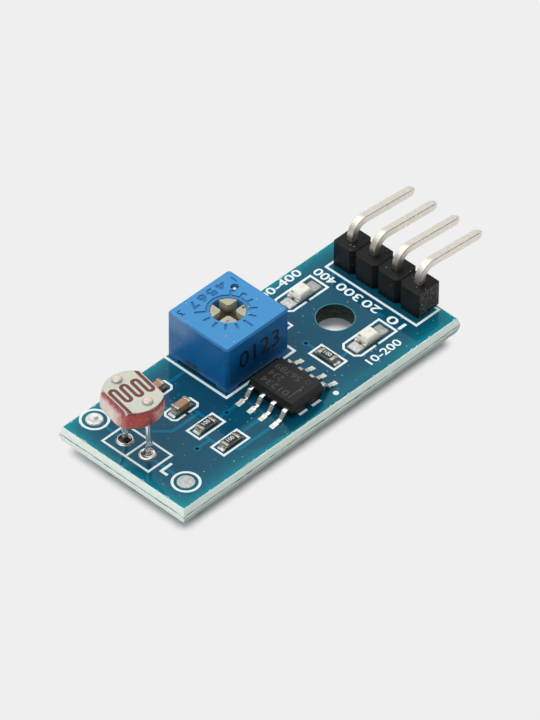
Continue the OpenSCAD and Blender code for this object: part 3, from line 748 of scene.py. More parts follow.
TRIMMER_AT = (-9.27, 3.17)  # Axis of the rotor
NEAR_PAD, FAR_PAD = (-22.43, -0.66), (-22.43, 1.88)  # Pads of the photoresistor
HEADS_AT = ((-22.69, -0.93), (-22.59, 2.62))  # Ends of its wires on the disc
SIGNAL_AT, POWER_AT = (0.0, -3.73), (0.0, 3.9)  # Middles of the lamps
DIGIT_STROKES = {  # Routes of the engraved digits in a square of size 1
    "1": [[(0.5, 0.0), (0.5, 1.0)]],
    "3": [[(0.05, 1.0), (0.85, 1.0), (0.45, 0.58), (0.9, 0.4), (0.9, 0.12), (0.6, 0.0), (0.05, 0.03)]],
    "4": [[(0.7, 0.0), (0.7, 1.0)], [(0.6, 0.97), (0.0, 0.33), (1.0, 0.33)]],
    "5": [[(0.9, 1.0), (0.12, 1.0), (0.08, 0.58), (0.65, 0.62), (0.95, 0.35), (0.7, 0.02), (0.05, 0.03)]],
    "6": [[(0.85, 0.98), (0.4, 0.85), (0.08, 0.45), (0.12, 0.12), (0.5, 0.0), (0.88, 0.12), (0.9, 0.42),
           (0.55, 0.56), (0.2, 0.45)]],
    "7": [[(0.05, 1.0), (0.95, 1.0), (0.35, 0.0)]]}

MASK = MaskFinish(  # Glossy screen-printed mask over copper: deep blue-green with a clear mirror
    "solder_mask_over_copper", "#0A4763", 0.07, ior=1.55, second=("#0C5068", 3.0), grain=(1.4, 0.0012),
    dust=(0.8, 0.42), tint="#A8F0FF", marks=(
        Mark((-11.2, -6.35, 1.5), (3.2, 0.8, 1.0), "#03465C", 0.85, 0.04, 0.75),
        Mark((-14.5, -5.6, 1.5), (2.2, 1.3, 1.0), "#0A4560", 0.5, 0.04, 0.75),
        Mark((-4.0, -7.1, 1.5), (7.5, 0.8, 1.0), "#0A5062", 0.65, 0.05, 0.2)))
TRACE_MASK = MaskFinish(  # The same mask over a trace, where it lies higher and looks lighter
    "solder_mask_over_trace", "#00688A", 0.09, ior=1.55, second=("#006F8C", 2.0), grain=(0.8, 0.001),
    tint="#A8F0FF")
EDGE = TornLaminate(  # Woven glass and epoxy, scored and snapped: pale, dry and fibrous
    "scored_glass_laminate", "#F1FFF8", 0.8, second=("#D2E8DC", 1.1), second_share=0.3,
    # The low layer is painted shade on the lower bevel, most on the -Y side.
    stretch=(1.0, 1.0, 9.0), grain=(0.35, 0.006), layers=(Layer("low", "#A6B5AB", 0.15),))
HOLE_WALL = Finish(  # Drilled laminate wall: dark green as painted shade inside the hole, with torn fibres
    "drilled_glass_laminate", "#06140F", 0.6, ior=1.35, second=("#3C5C50", 0.7), second_share=0.6,
    stretch=(1.0, 1.0, 6.0), grain=(0.12, 0.02))
INK = Finish(  # Screen-printed epoxy ink: bluish white, slightly uneven
    "white_legend_ink", "#F2FEFF", 0.6, second=("#E4F8FC", 0.4), grain=(0.08, 0.003))
HOLE_RIM = Finish(  # Cut border of the mask round the hole: thin and light green, partly a painted highlight on the rim
    "cut_mask_rim", "#2A8F92", 0.35, second=("#1C7A80", 0.4))
BARE_RIM = Finish(  # Laminate left bare round the pads: dark and slightly rough
    "bare_laminate", "#123440", 0.4, second=("#1D4A52", 0.3))
VIA_WELL = Finish(  # Small drilled hole under the mask: a dark disc of painted shade, with nothing to mirror
    "drilled_via_well", "#03151B", 0.8, ior=1.2, second=("#0B2C36", 0.12))
CERAMIC = Finish(  # Pressed and fired alumina: chalky off-white
    "fired_alumina", "#DAD8CC", 0.6, second=("#CFCBBD", 0.5), grain=(0.06, 0.002))
CELL_FILM = Finish(  # Sintered light-sensitive film: matt red-brown
    "sintered_cell_film", "#6C3A3A", 0.6, second=("#7A4744", 0.15), grain=(0.04, 0.002))
ELECTRODE = Finish(  # Evaporated metal on ceramic: matt warm grey-white with faint speckle
    "evaporated_electrode", "#D2D3C6", 0.5, second=("#C6C7BA", 0.25), grain=(0.05, 0.0015),
    gloss_change=0.1)
RED_RESIN = Finish(  # Dipped epoxy over the ceramic: glossy red, pink where it is thin
    "dipped_red_epoxy", "#B5403A", 0.22, second=("#9C302C", 0.7), second_share=0.6, grain=(0.3, 0.008),
    glow=(0.1, 0.25), layers=(Layer("dark", "#6E1716", 0.2), Layer("thin", "#EBDCD4", 0.3)))
CEMENT = Finish(  # Conductive cement over the wire ends: matt, pinkish cream on top and greyer on the sides, with the tops also painted lighter as lit from above
    "conductive_cement", "#BDBDB3", 0.5, second=("#B2B2A7", 0.3), grain=(0.05, 0.002), marks=tuple(
        # Partly painted light: the pinkish cream tops, lighter than the grey sides as lit from above.
        Mark((*head, 7.93), (0.4, 0.4, 0.09), "#EBCFC2", 1.0, 0.1, 0.7) for head in HEADS_AT))
WIRE = Finish(  # Tinned copper wire, bright
    "tinned_copper_wire", "#F5F5F0", 0.16, metallic=0.85, second=("#C2C4BC", 0.5), stretch=(1.0, 1.0, 0.3))
BLUE = Finish(  # Moulded thermoplastic with a fine satin surface and a little dust
    "blue_moulded_housing", "#0466A8", 0.3, ior=1.42, second=("#06619E", 0.8), grain=(0.2, 0.0002),
    gloss_change=0.03, dust=(0.6, 0.55),
    # Painted light on the level top, and painted shade in the engraved grooves.
    layers=(Layer("painted_top_light", "#3E92CE", 0.0), Layer("groove", "#0C5496", 0.0)), marks=(
        # Painted shade: darker over the whole -Y wall.
        Mark((-10.0, -0.23, 2.9), (4.1, 0.5, 2.9), "#035085", 1.0, 0.1, 0.45),
        # Painted highlight: lighter along the rounded top edge.
        Mark((*TRIMMER_AT, 6.16), (9.0, 9.0, 0.15), "#4F9AD2", 0.5, 0.03, 0.3),
        # Painted reflection: a pale sheen on the upper part of the -X wall.
        Mark((-12.87, 5.7, 5.6), (0.6, 2.8, 1.5), "#6E9CC4", 0.55, 0.25, 0.1),
        Mark((-12.87, 3.8, 2.0), (0.6, 1.4, 0.65), "#1E2C36", 0.85, 0.3, 0.25)))
DARK_PRINT = Finish(  # Pad-printed digits: near black
    "dark_marking", "#061522", 0.45, second=("#0A1E30", 0.15))
ROTOR = Finish(  # Glass-filled moulding: olive grey, satin; painted brown shade deep in the slots, two burnt gate marks
    "glass_filled_rotor", "#B7B6A1", 0.4, second=("#A8A68F", 0.5), grain=(0.07, 0.002), glow=(0.05, 0.3),
    marks=(
        # Painted shade: brown and dark deep in the slots.
        Mark((*TRIMMER_AT, 5.1), (2.0, 2.0, 1.08), "#33291B", 0.97, 0.05, 0.35),
        Mark((TRIMMER_AT[0] - 0.93, TRIMMER_AT[1] - 0.85, 6.2), (0.26, 0.14, 0.3), "#5A4A34", 0.6),
        Mark((TRIMMER_AT[0] + 1.15, TRIMMER_AT[1] - 0.62, 6.2), (0.2, 0.2, 0.3), "#4A3C2C", 0.9)))
SPRING = Finish(  # Rolled and stamped copper alloy: golden and bright
    "stamped_spring_alloy", "#C9A86A", 0.28, metallic=1.0, second=("#B08F55", 0.4))
RUBBER = Finish(  # Moulded silicone ring: matt red-brown
    "moulded_silicone", "#8A4A35", 0.5, second=("#7A3F2D", 0.3))
TRACK = Finish(  # Screened and fired resistive ink: matt and nearly black
    "resistive_ink", "#2A2724", 0.6, second=("#3A352F", 0.1))
POTTING = Finish(  # Poured potting resin: smooth and dark blue
    "poured_potting_resin", "#20324A", 0.3, second=("#1A293C", 0.6))
MOULDING = Finish(  # Silica-filled epoxy, moulded against a spark-eroded tool: satin black, fine grain
    "black_epoxy_moulding", "#0F1010", 0.5, ior=1.42, second=("#171918", 0.25), grain=(0.05, 0.004),
    gloss_change=0.06, dust=(0.4, 0.35))
LASER_MARK = Finish(  # Laser marking on the moulding: shallow, dull and a little greyer
    "laser_marked_moulding", "#4A4B44", 0.6, second=("#35362F", 0.12))
SCUFF = Finish(  # Long scuff with a yellowish cast
    "scuffed_moulding", "#6B6040", 0.55, second=("#3F3A2A", 0.3), second_share=0.9)
SILICON = Finish(  # Sawn and polished chip: cold grey and glossy
    "sawn_silicon", "#55595F", 0.2, second=("#474B52", 0.2))
COPPER_ALLOY = Finish(  # Etched metal pad under the chip: warm and bright
    "etched_copper_alloy", "#C58A5E", 0.3, metallic=1.0, second=("#A8724A", 0.3))
LEAD = Finish(  # Tin-plated lead frame: bright matt tin
    "plated_lead_frame", "#F4F5EE", 0.2, metallic=0.95, second=("#A3A297", 0.2), grain=(0.1, 0.003),
    gloss_change=0.07)
INSULATOR = Finish(  # Glass-filled header body: satin black with pale dust
    "glass_filled_insulator", "#060708", 0.45, ior=1.36, second=("#0D1012", 0.4), grain=(0.07, 0.003),
    gloss_change=0.08, dust=(0.9, 0.38))
TORN_PLASTIC = Finish(  # The same plastic where the row was snapped: coarse, dry and greyer
    "snapped_insulator_face", "#1B1E1F", 0.7, second=("#6E7170", 0.12), grain=(0.1, 0.03), dust=(0.5, 0.3))
PIN = Finish(  # Tin over brass, drawn and cut: warm satin metal with a dark line along one corner
    "tinned_brass_pin", "#F4EEE4", 0.4, metallic=0.8, second=("#DED6C8", 0.35), second_share=0.4,
    grain=(0.1, 0.0003), layers=(Layer("corner_line", "#4A4136", 0.15),), marks=(
        # Painted shade: darker where the pins leave the insulator.
        Mark((5.86, -0.1, 4.0), (3.0, 9.0, 2.5), "#7A7161", 0.85, 0.3, 0.1),))
CHIP_CERAMIC = Finish(  # Cut alumina sides of the chip resistors: grey with a green cast
    "cut_chip_alumina", "#8F968F", 0.5, second=("#676F69", 0.2), grain=(0.05, 0.003))
GLAZE = Finish(  # Screened black glass over the resistor film
    "black_chip_glaze", "#0D0E0E", 0.35, second=("#161717", 0.15))
CAPACITOR = Finish(  # Sintered titanate layers: tan, fine-grained
    "sintered_titanate", "#B58A68", 0.42, second=("#A47A59", 0.12), grain=(0.04, 0.002))
END_METAL = Finish(  # Plated chip ends: warm matt tin
    "plated_chip_end", "#C9C3B2", 0.34, metallic=0.9, second=("#767060", 0.15), grain=(0.07, 0.006),
    gloss_change=0.1)
LAMP_BASE = Finish(  # Pale laminate below the lamp lens
    "pale_lamp_laminate", "#DDD9C2", 0.5, second=("#CFCBB2", 0.25))
LENS = Finish(  # Clear epoxy with milky filler, moulded; a green mark shows on its low shoulder
    "milky_lens_epoxy", "#F6F4EA", 0.25, second=("#EEECE0", 0.6), grain=(0.3, 0.002), glow=(0.5, 0.3),
    marks=tuple(
        Mark((x + dx, y + dy, 2.0), reach, colour, share, 0.1) for x, y in (SIGNAL_AT, POWER_AT)
        for dx, dy, reach, colour, share in ((-0.66, 0.31, (0.085, 0.26, 0.3), "#2FA36B", 0.95),
                                             (0.15, 0.0, (0.28, 0.26, 1.2), "#DFE2D2", 0.6))))
LAMP_END = Finish(  # Plated ends of the lamps, with flux dried brown on them
    "plated_lamp_end", "#E2DED0", 0.4, metallic=0.5, second=("#CFC9B8", 0.15), grain=(0.07, 0.006),
    marks=tuple(
        Mark((x + dx, y + dy, 1.82), (0.09, 0.09, 0.2), "#6E5A3C", 0.7, 0.3, 0.6)
        for x, y in (SIGNAL_AT, POWER_AT)
        for dx, dy in ((-1.0, 0.31), (-0.95, -0.33), (1.0, 0.14), (0.98, -0.35))))
LAMP_CHIP = Finish(  # Sawn chip inside a lamp: yellowish and glossy
    "lamp_chip", "#C8B070", 0.3, second=("#A89050", 0.1))
SOLDER = Finish(  # Tin solder, melted and frozen: bright, slightly wrinkled
    "frozen_solder", "#D3D2CA", 0.18, metallic=1.0, second=("#A9A79D", 0.3), grain=(0.15, 0.004),
    gloss_change=0.08)
CHIP_SOLDER = Finish(  # Solder of the chips: mirrors the dark board, with a few bright glints
    "chip_fillet_solder", "#BEC6C2", 0.2, metallic=0.9, second=("#727B7A", 0.2), grain=(0.12, 0.006),
    gloss_change=0.1)
JOINT_SOLDER = Finish(  # Hand-soldered joints of the photoresistor: bright bead, flux burnt in the dish
    "hand_soldered_joint", "#EFEEE9", 0.22, metallic=0.95, second=("#CFCDC6", 0.3), gloss_change=0.04,
    layers=(Layer("burnt", "#3A2B1E", 0.25),), marks=(
        # Painted shade: near black in the blow hole of the far joint.
        Mark((FAR_PAD[0] + 0.2, FAR_PAD[1] - 0.36, 1.6), (0.16, 0.16, 0.3), "#0E0B09", 1.0, 0.1),))
PAD_SOLDER = Finish(  # Solder levelled in hot air on an open pad: bright rim, painted shade in the middle
    "levelled_pad_solder", "#F4F4F1", 0.35, metallic=0.35, second=("#C9C9C5", 0.3), grain=(0.15, 0.008),
    gloss_change=0.1, marks=(
        # Painted shade: darker in the dish, towards +X and -Y.
        Mark((-22.3, 5.25, 1.6), (0.42, 0.3, 0.3), "#77766F", 0.8, 0.6, 0.2),))
DULL_SOLDER = Finish(  # The same, gone matt and mottled grey
    "oxidised_pad_solder", "#D4D6D3", 0.55, metallic=0.3, second=("#A8AAA7", 0.22), second_share=0.6,
    grain=(0.1, 0.01))
LAMP_PAD = Finish(  # Wide pads of the lamps: rough levelled solder, pale grey
    "rough_pad_solder", "#DCDDDA", 0.5, metallic=0.3, second=("#B2B4B2", 0.28), second_share=0.8,
    grain=(0.12, 0.02), marks=tuple(
        Mark((x + 1.5, y, 1.6), (0.6, 0.9, 0.6), "#A3A5A3", 0.8, 0.1, 0.7)
        for x, y in (SIGNAL_AT, POWER_AT)))
MATT_SOLDER = Finish(  # Solder levelled in hot air on the comparator pads: bright and matt
    "levelled_solder", "#F6F8F2", 0.32, metallic=0.4, second=("#B0B2AA", 0.16), second_share=0.5,
    grain=(0.1, 0.01), gloss_change=0.1)

SLOT_FINISH = {
    "solder_mask": MASK, "alumina_disc": CERAMIC, "cell_film": CELL_FILM,
    "electrode_film": ELECTRODE, "red_resin": RED_RESIN, "tinned_wire": WIRE,
    "blue_moulding": BLUE, "rotor_moulding": ROTOR, "spring_metal": SPRING,
    "seal_rubber": RUBBER, "track_ink": TRACK, "potting_resin": POTTING,
    "black_moulding": MOULDING, "silicon": SILICON, "copper_alloy": COPPER_ALLOY,
    "tinned_lead": LEAD, "insulator_moulding": INSULATOR, "pin_tin": PIN,
    "resistor_body": CHIP_CERAMIC, "capacitor_body": CAPACITOR, "chip_end_metal": END_METAL,
    "lamp_laminate": LAMP_BASE, "lamp_resin": LENS, "lamp_chip": LAMP_CHIP, "solder": SOLDER,
}


# Making and copying pieces

CAD_SHARP = 33.0  # Degrees from which an edge of a CAD solid is a real edge
SOFTENED_SHARP = 50.0  # Degrees from which an edge stays sharp once the others are rounded
ALL_SMOOTH = 180.0  # Degrees at which no edge stays sharp
MERGE_M = 2e-7  # Metres below which two vertices are one


def add_object(name: str, data: bpy.types.ID) -> bpy.types.Object:
    """Adds an object to the scene.

    Args:
        name: Name of the object.
        data: Its mesh, text or camera.

    Returns:
        The new object.
    """
    holder = bpy.data.objects.new(name, data)
    bpy.context.scene.collection.objects.link(holder)
    return holder


def finished_mesh(holder: bpy.types.Object) -> bpy.types.Mesh:
    """New mesh of an object or a text, with its modifiers applied."""
    return bpy.data.meshes.new_from_object(holder.evaluated_get(bpy.context.evaluated_depsgraph_get()))


def set_attribute(mesh: bpy.types.Mesh, key: str, values: Array) -> None:
    """Adds an attribute to a mesh, with one value for each vertex."""
    mesh.attributes.new(key, "FLOAT", "POINT").data.foreach_set("value", values.ravel().astype(np.float32))


def place_piece(piece: bpy.types.Object, finish: Finish, body: Body,
                nodes: Sequence[str]) -> bpy.types.Object:
    """Dresses a piece, hangs it on its body and hides the CAD nodes that it replaces.

    Args:
        piece: The piece.
        finish: Its finish.
        body: Body that it rides on.
        nodes: CAD nodes that it replaces.

    Returns:
        The same piece.
    """
    piece.data.materials.clear()
    piece.data.materials.append(finish.build())
    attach(piece, body.value)
    if nodes:
        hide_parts(*nodes)
    LOG.info("%s: %d faces", piece.name, len(piece.data.polygons))
    return piece


def joined_mesh(name: str, surfaces: Iterable[Surface],
                attributes: dict[str, Array] | None = None) -> bpy.types.Mesh:
    """Joins surfaces into one mesh, closes its seams and poles, and turns its faces outwards.

    Args:
        name: Name of the mesh.
        surfaces: Vertices in millimetres and faces, for each surface.
        attributes: Values for each vertex, by attribute name.

    Returns:
        The new mesh.
    """
    points, faces, start = [], [], 0
    for part, part_faces in surfaces:
        points.append(np.asarray(part, float) * MM)
        faces.extend([[start + i for i in face] for face in part_faces])
        start += len(part)
    mesh = bpy.data.meshes.new(name)
    mesh.from_pydata(np.concatenate(points), [], faces)
    for key, values in (attributes or {}).items():
        set_attribute(mesh, key, values)
    clean(mesh)
    return mesh


def make_piece(name: str, surfaces: Iterable[Surface], finish: Finish,
               body: Body = Body.MODULE, nodes: Sequence[str] = (), sharp: float = 40.0,
               attributes: dict[str, Array] | None = None) -> bpy.types.Object:
    """Joins surfaces into one closed piece and dresses it.

    Args:
        name: Name of the piece.
        surfaces: Vertices in millimetres and faces, for each surface.
        finish: Its finish.
        body: Body that it rides on.
        nodes: CAD nodes that it replaces.
        sharp: Angle in degrees from which an edge stays sharp.
        attributes: Values for each vertex, by attribute name.

    Returns:
        The new piece.
    """
    mesh = joined_mesh(name, surfaces, attributes)
    mesh.shade_smooth()
    mesh.set_sharp_from_angle(angle=math.radians(sharp))
    return place_piece(add_object(name, mesh), finish, body, nodes)


def clean(mesh: bpy.types.Mesh, flat_degrees: float = 0.0) -> None:
    """Merges doubled vertices, joins flat neighbours if asked, and turns the faces outwards.

    Args:
        mesh: Mesh to clean.
        flat_degrees: Angle below which neighbouring faces are joined, or 0.
    """
    work = bmesh.new()
    work.from_mesh(mesh)
    bmesh.ops.remove_doubles(work, verts=work.verts, dist=MERGE_M)
    if flat_degrees:
        bmesh.ops.dissolve_limit(work, angle_limit=math.radians(flat_degrees),
                                 verts=work.verts, edges=work.edges)
    bmesh.ops.recalc_face_normals(work, faces=work.faces)
    work.to_mesh(mesh)
    work.free()


def places_of(mesh: bpy.types.Mesh, key: str = "co") -> Array:
    """Places or normals of a mesh's vertices.

    Args:
        mesh: The mesh.
        key: "co" for the places in metres, "normal" for the normals.

    Returns:
        One row for each vertex.
    """
    values = np.empty(len(mesh.vertices) * 3, np.float32)
    mesh.vertices.foreach_get(key, values)
    return values.reshape(-1, 3).astype(float)


def merged_copy(node: str, name: str, flat_degrees: float = 0.6) -> bpy.types.Object:
    """Copies a CAD node with its loose triangles merged.

    Args:
        node: Name of the node.
        name: Name of the copy.
        flat_degrees: Angle below which neighbouring faces are joined.

    Returns:
        The copy.
    """
    mesh = frame["nodes"][node].data.copy()
    mesh.name = name
    kept = mesh.attributes.get("custom_normal")
    if kept:
        mesh.attributes.remove(kept)
    clean(mesh, flat_degrees)
    return add_object(name, mesh)


def apply_modifiers(piece: bpy.types.Object) -> None:
    """Makes the result of a piece's modifiers its mesh.

    Args:
        piece: The piece.
    """
    mesh = finished_mesh(piece)
    piece.modifiers.clear()
    piece.data = mesh


def settle(piece: bpy.types.Object, sharp: float) -> None:
    """Applies the modifiers of a piece and shades it smooth up to an angle, flat faces flat.

    Args:
        piece: The piece.
        sharp: Angle in degrees from which an edge stays sharp.
    """
    apply_modifiers(piece)
    piece.data.shade_smooth()
    piece.data.set_sharp_from_angle(angle=math.radians(sharp))
    weights = piece.modifiers.new("weights", "WEIGHTED_NORMAL")
    weights.keep_sharp = True
    apply_modifiers(piece)


def soften(node: str, edge_mm: float, finish: Finish, name: str = "", body: Body = Body.MODULE,
           segments: int = 2, sharp: float = CAD_SHARP) -> bpy.types.Object:
    """Replaces a CAD node by a copy with slightly rounded edges.

    Args:
        node: Name of the node.
        edge_mm: Radius of the edges; 0 only shades the round faces smooth.
        finish: Its finish.
        name: Name of the piece, or nothing for the node's name with _skin.
        body: Body that it rides on.
        segments: Steps across each rounded edge.
        sharp: Angle in degrees from which an edge is rounded.

    Returns:
        The new piece.
    """
    piece = merged_copy(node, name or f"{node}_skin")
    if edge_mm:
        bevel = piece.modifiers.new("edges", "BEVEL")
        bevel.width = edge_mm * MM
        bevel.segments = segments
        bevel.limit_method = "ANGLE"
        bevel.angle_limit = math.radians(sharp)
        bevel.harden_normals = False
    settle(piece, SOFTENED_SHARP if edge_mm else sharp)
    return place_piece(piece, finish, body, [node])


def remelt(node: str, grain_mm: float, lump_mm: float, lump_size: float, seed: int,
           finish: Finish) -> bpy.types.Object:
    """Replaces a solder node by a copy whose edges have flowed together.

    The solid is rebuilt from small cells, smoothed, and moved along its normals by the random
    field, which gives the uneven skin of frozen solder.

    Args:
        node: Name of the node.
        grain_mm: Size of the cells.
        lump_mm: Height of the lumps.
        lump_size: Size of the lumps.
        seed: Seed of the lumps.
        finish: Its finish.

    Returns:
        The new piece.
    """
    piece = merged_copy(node, f"{node}_skin", 0.0)
    cells = piece.modifiers.new("cells", "REMESH")
    cells.mode = "VOXEL"
    cells.voxel_size = grain_mm * MM
    flow = piece.modifiers.new("flow", "SMOOTH")
    flow.factor = 0.5
    flow.iterations = 4
    apply_modifiers(piece)
    mesh = piece.data
    mesh.shade_smooth()
    places = places_of(mesh)
    push = lump_mm * MM * noise(places / MM, lump_size, seed)
    moved = places + push[:, None] * places_of(mesh, "normal")
    mesh.vertices.foreach_set("co", moved.ravel().astype(np.float32))
    mesh.update()
    return place_piece(piece, finish, Body.MODULE, [node])


# Circuit board


def frame_route(low: Sequence[float], high: Sequence[float], cuts: Sequence[float] = (0, 0, 0, 0),
                gap: Sequence[float] = ()) -> Array:
    """Middle line of a printed frame, anticlockwise from its low side.

    Args:
        low: Low corner of the middle line.
        high: High corner of the middle line.
        cuts: Size of the cut at the low left, low right, high right and high left corner.
        gap: Start and end of a gap in the low side, or nothing for a closed frame.

    Returns:
        The points; open at the gap if there is one.
    """
    (x0, y0), (x1, y1) = low, high
    a, b, c, d = cuts
    route = [(x0 + a, y0), (x1 - b, y0), (x1, y0 + b), (x1, y1 - c), (x1 - c, y1),
             (x0 + d, y1), (x0, y1 - d), (x0, y0 + a)]
    kept = [point for i, point in enumerate(route) if point != route[i - 1]]
    if gap:
        turned = kept[1:] + kept[:1]
        kept = [(gap[1], y0), *turned, (gap[0], y0)]
    return np.array(kept, float)


@dataclass
class Board:
    """Circuit board: mask, traces, printed legend, torn edges and the wall of the mounting hole.

    Places are measured from the low corner of the flat top.
    """

    ink: float = 0.2  # Width of the thin printed lines
    bold: float = 0.015  # How far the strokes of the labels are widened, over their height
    hole: tuple[float, float] = (24.88, 7.18)
    hole_r: float = 1.6
    vias: tuple[tuple[float, float], ...] = ((5.75, 4.2), (10.5, 5.5), (20.95, 6.7))
    traces: tuple[tuple[tuple[float, float], ...], ...] = (
        ((2.45, 11.7), (2.45, 9.8)), ((2.38, 5.8), (2.38, 3.3)),
        ((4.1, 8.8), (5.85, 7.05), (8.9, 7.05)), ((7.45, 10.2), (7.45, 9.1)),
        ((8.85, 7.5), (8.85, 6.4)), ((7.25, 4.75), (7.25, 3.6)), ((7.25, 4.2), (5.75, 4.2)),
        ((9.8, 5.55), (12.0, 5.55)), ((9.8, 3.0), (12.0, 3.0)), ((7.8, 2.0), (8.2, 1.7), (12.0, 1.7)),
        ((9.8, 11.35), (11.6, 11.35)), ((20.95, 6.7), (20.95, 5.75)), ((21.9, 3.5), (22.6, 3.5)),
        ((27.7, 4.4), (27.7, 5.0)), ((28.2, 9.7), (28.8, 9.7)), ((28.2, 10.85), (28.8, 10.85)))
    trace_w: float = 0.32
    edge_lap: float = 0.05  # How far the skin of the edges laps over the flat faces
    fibre_pitch: float = 0.06  # Distance between two rows of that skin
    chip_depth: float = 0.1  # How far the upper border is chipped at most
    corner_fade: float = 0.35  # Distance from a corner over which two skins come together

    def build(self) -> None:
        """Makes every piece of the board."""
        self.make_traces()
        self.make_legend()
        self.make_labels()
        self.make_edges()
        self.make_hole_wall()
        self.make_pads()

    def make_traces(self) -> None:
        """Traces and the rings of the small holes, as bands that lie just proud of the mask."""
        ring_r, ring_w, well_r, rim_w = 0.25, 0.16, 0.18, 0.08
        bands = [ribbon(on_board(route), self.trace_w, PRINT_LOW - i * STEP_MM, TRACE_TOP + i * STEP_MM)
                 for i, route in enumerate(self.traces)]
        last = len(self.traces) * STEP_MM
        levels = (PRINT_LOW - last, TRACE_TOP + last)
        rings = [ribbon(circle(on_board(via), ring_r, 24), ring_w, *levels, closed=True)
                 for via in self.vias]
        border = circle(on_board(self.hole), self.hole_r + 0.05, 96)
        rim = ribbon(border, rim_w, PRINT_LOW, TRACE_TOP, closed=True)
        make_piece("mask_traces", [*bands, *rings], TRACE_MASK)
        make_piece("hole_rim", [rim], HOLE_RIM)
        wells = [plate(circle(on_board(via), well_r, 24), PRINT_LOW, levels[1] - STEP_MM)
                 for via in self.vias]
        make_piece("via_wells", wells, VIA_WELL)

    def make_legend(self) -> None:
        """Printed lines: rings, frames round the parts, bars and the mark of the first lead."""
        half = self.ink / 2
        lines: list[tuple[Array, float, bool]] = [
            (circle((2.43, 12.53), 1.16, 72), 0.22, True),
            (circle((2.37, 2.1), 1.13, 72), 0.22, True),
            (frame_route((1.0 + half, 5.0 + half), (3.88 - half, 10.4 - half)), self.ink, True),
            (np.array([(1.1, 7.7), (3.78, 7.7)]), self.ink, False),
            (np.array([(1.875, 3.7), (1.875, 4.42), (3.1, 4.42)]), 0.25, False),
            (np.array([(11.72, 13.72), (11.72, 6.73), (19.65, 6.73), (19.65, 13.0)]), 0.24, False)]
        for low in (7.6, 10.55):
            start, end = (6.65 + half, low + half), (9.75 - half, low + 1.45)
            lines.append((frame_route(start, end, (0.28,) * 4, (8.0, 8.35)), self.ink, False))
        for low, high in (((6.6, 4.75), (9.7, 6.35)), ((6.6, 2.0), (9.7, 3.6)),
                          ((20.15, 2.75), (21.8, 5.75)), ((20.15, 8.9), (21.8, 11.9))):
            route = frame_route(np.add(low, half), np.subtract(high, half))
            lines.append((route, self.ink, True))
        for low, high, gap in (((22.5, 2.35), (27.3, 4.55), (24.75, 25.05)),
                               ((22.5, 10.05), (27.2, 12.25), (24.6, 24.95))):
            cuts = (0.42, 0.0, 0.0, 0.42)
            route = frame_route(np.add(low, half), np.subtract(high, half), cuts, gap)
            lines.append((route, self.ink, False))
        lines.append((frame_route((28.81, 1.76), (31.49, 11.99)), 0.22, True))
        drawn = [ribbon(on_board(route), width, PRINT_LOW - i * STEP_MM, LEGEND_TOP + i * STEP_MM, closed)
                 for i, (route, width, closed) in enumerate(lines)]
        drawn += [ribbon(on_board([(x0, 1.14), (x1, 1.14)]), 0.25, PRINT_LOW, LEGEND_TOP)
                  for x0, x1 in ((14.4, 15.32), (15.9, 16.88))]
        drawn.append(plate(on_board(circle((18.35, 0.82), 0.25, 30)), PRINT_LOW, LEGEND_TOP))
        make_piece("legend_lines", drawn, INK)

    def make_labels(self) -> None:
        """Plain numbers in the places of the printed labels."""
        labels = (("10-200", (22.8, 1.05), (26.5, 1.88), 0), ("300-400", (21.5, 12.75), (26.9, 13.6), 0),
                  ("10", (27.45, 2.35), (28.35, 4.1), 1), ("20", (27.45, 5.1), (28.35, 6.9), 1),
                  ("300", (27.45, 7.2), (28.35, 9.8), 1), ("400", (27.45, 10.1), (28.35, 12.35), 1))
        words = [lettering(text, on_board(low), on_board(high), (PRINT_LOW, LEGEND_TOP), self.bold, turn)
                 for text, low, high, turn in labels]
        make_piece("legend_numbers", words, INK)

    def edge_profile(self, count: int) -> tuple[Array, Array]:
        """Inset and height from the flat top, down the upper bevel, the ridge and the lower bevel.

        Args:
            count: Number of points.

        Returns:
            The insets and the heights.
        """
        low = (TOP - RIDGE) / 2
        knots = np.array([(SCORE + self.edge_lap, TOP), (SCORE, TOP), (0, low + RIDGE), (0, low),
                          (SCORE, 0), (SCORE + self.edge_lap, 0)])
        run = np.concatenate([[0], np.cumsum(np.linalg.norm(np.diff(knots, axis=0), axis=1))])
        share = np.linspace(0, run[-1], count)
        return np.interp(share, run, knots[:, 0]), np.interp(share, run, knots[:, 1])

    def make_edges(self) -> None:
        """Torn fibres over the four scored edges, as a closed skin along each side.

        Each point of the edge profile moves outwards by a thin skin plus the sizes of two random
        fields, one long along the edge and thin across it and one fine. A notch follows the torn
        line at mid height, and the upper border is chipped inwards. Near a corner the move fades
        into one that both sides share, so that they meet there. The attribute says where the lower
        bevel takes painted shade: most on the -Y side, less on the +X and +Y sides, none on -X.
        """
        proud, thinnest = 0.006, 0.004
        inset, height = self.edge_profile(26)
        corner = self.corner_push(height)
        sides, low = [], []
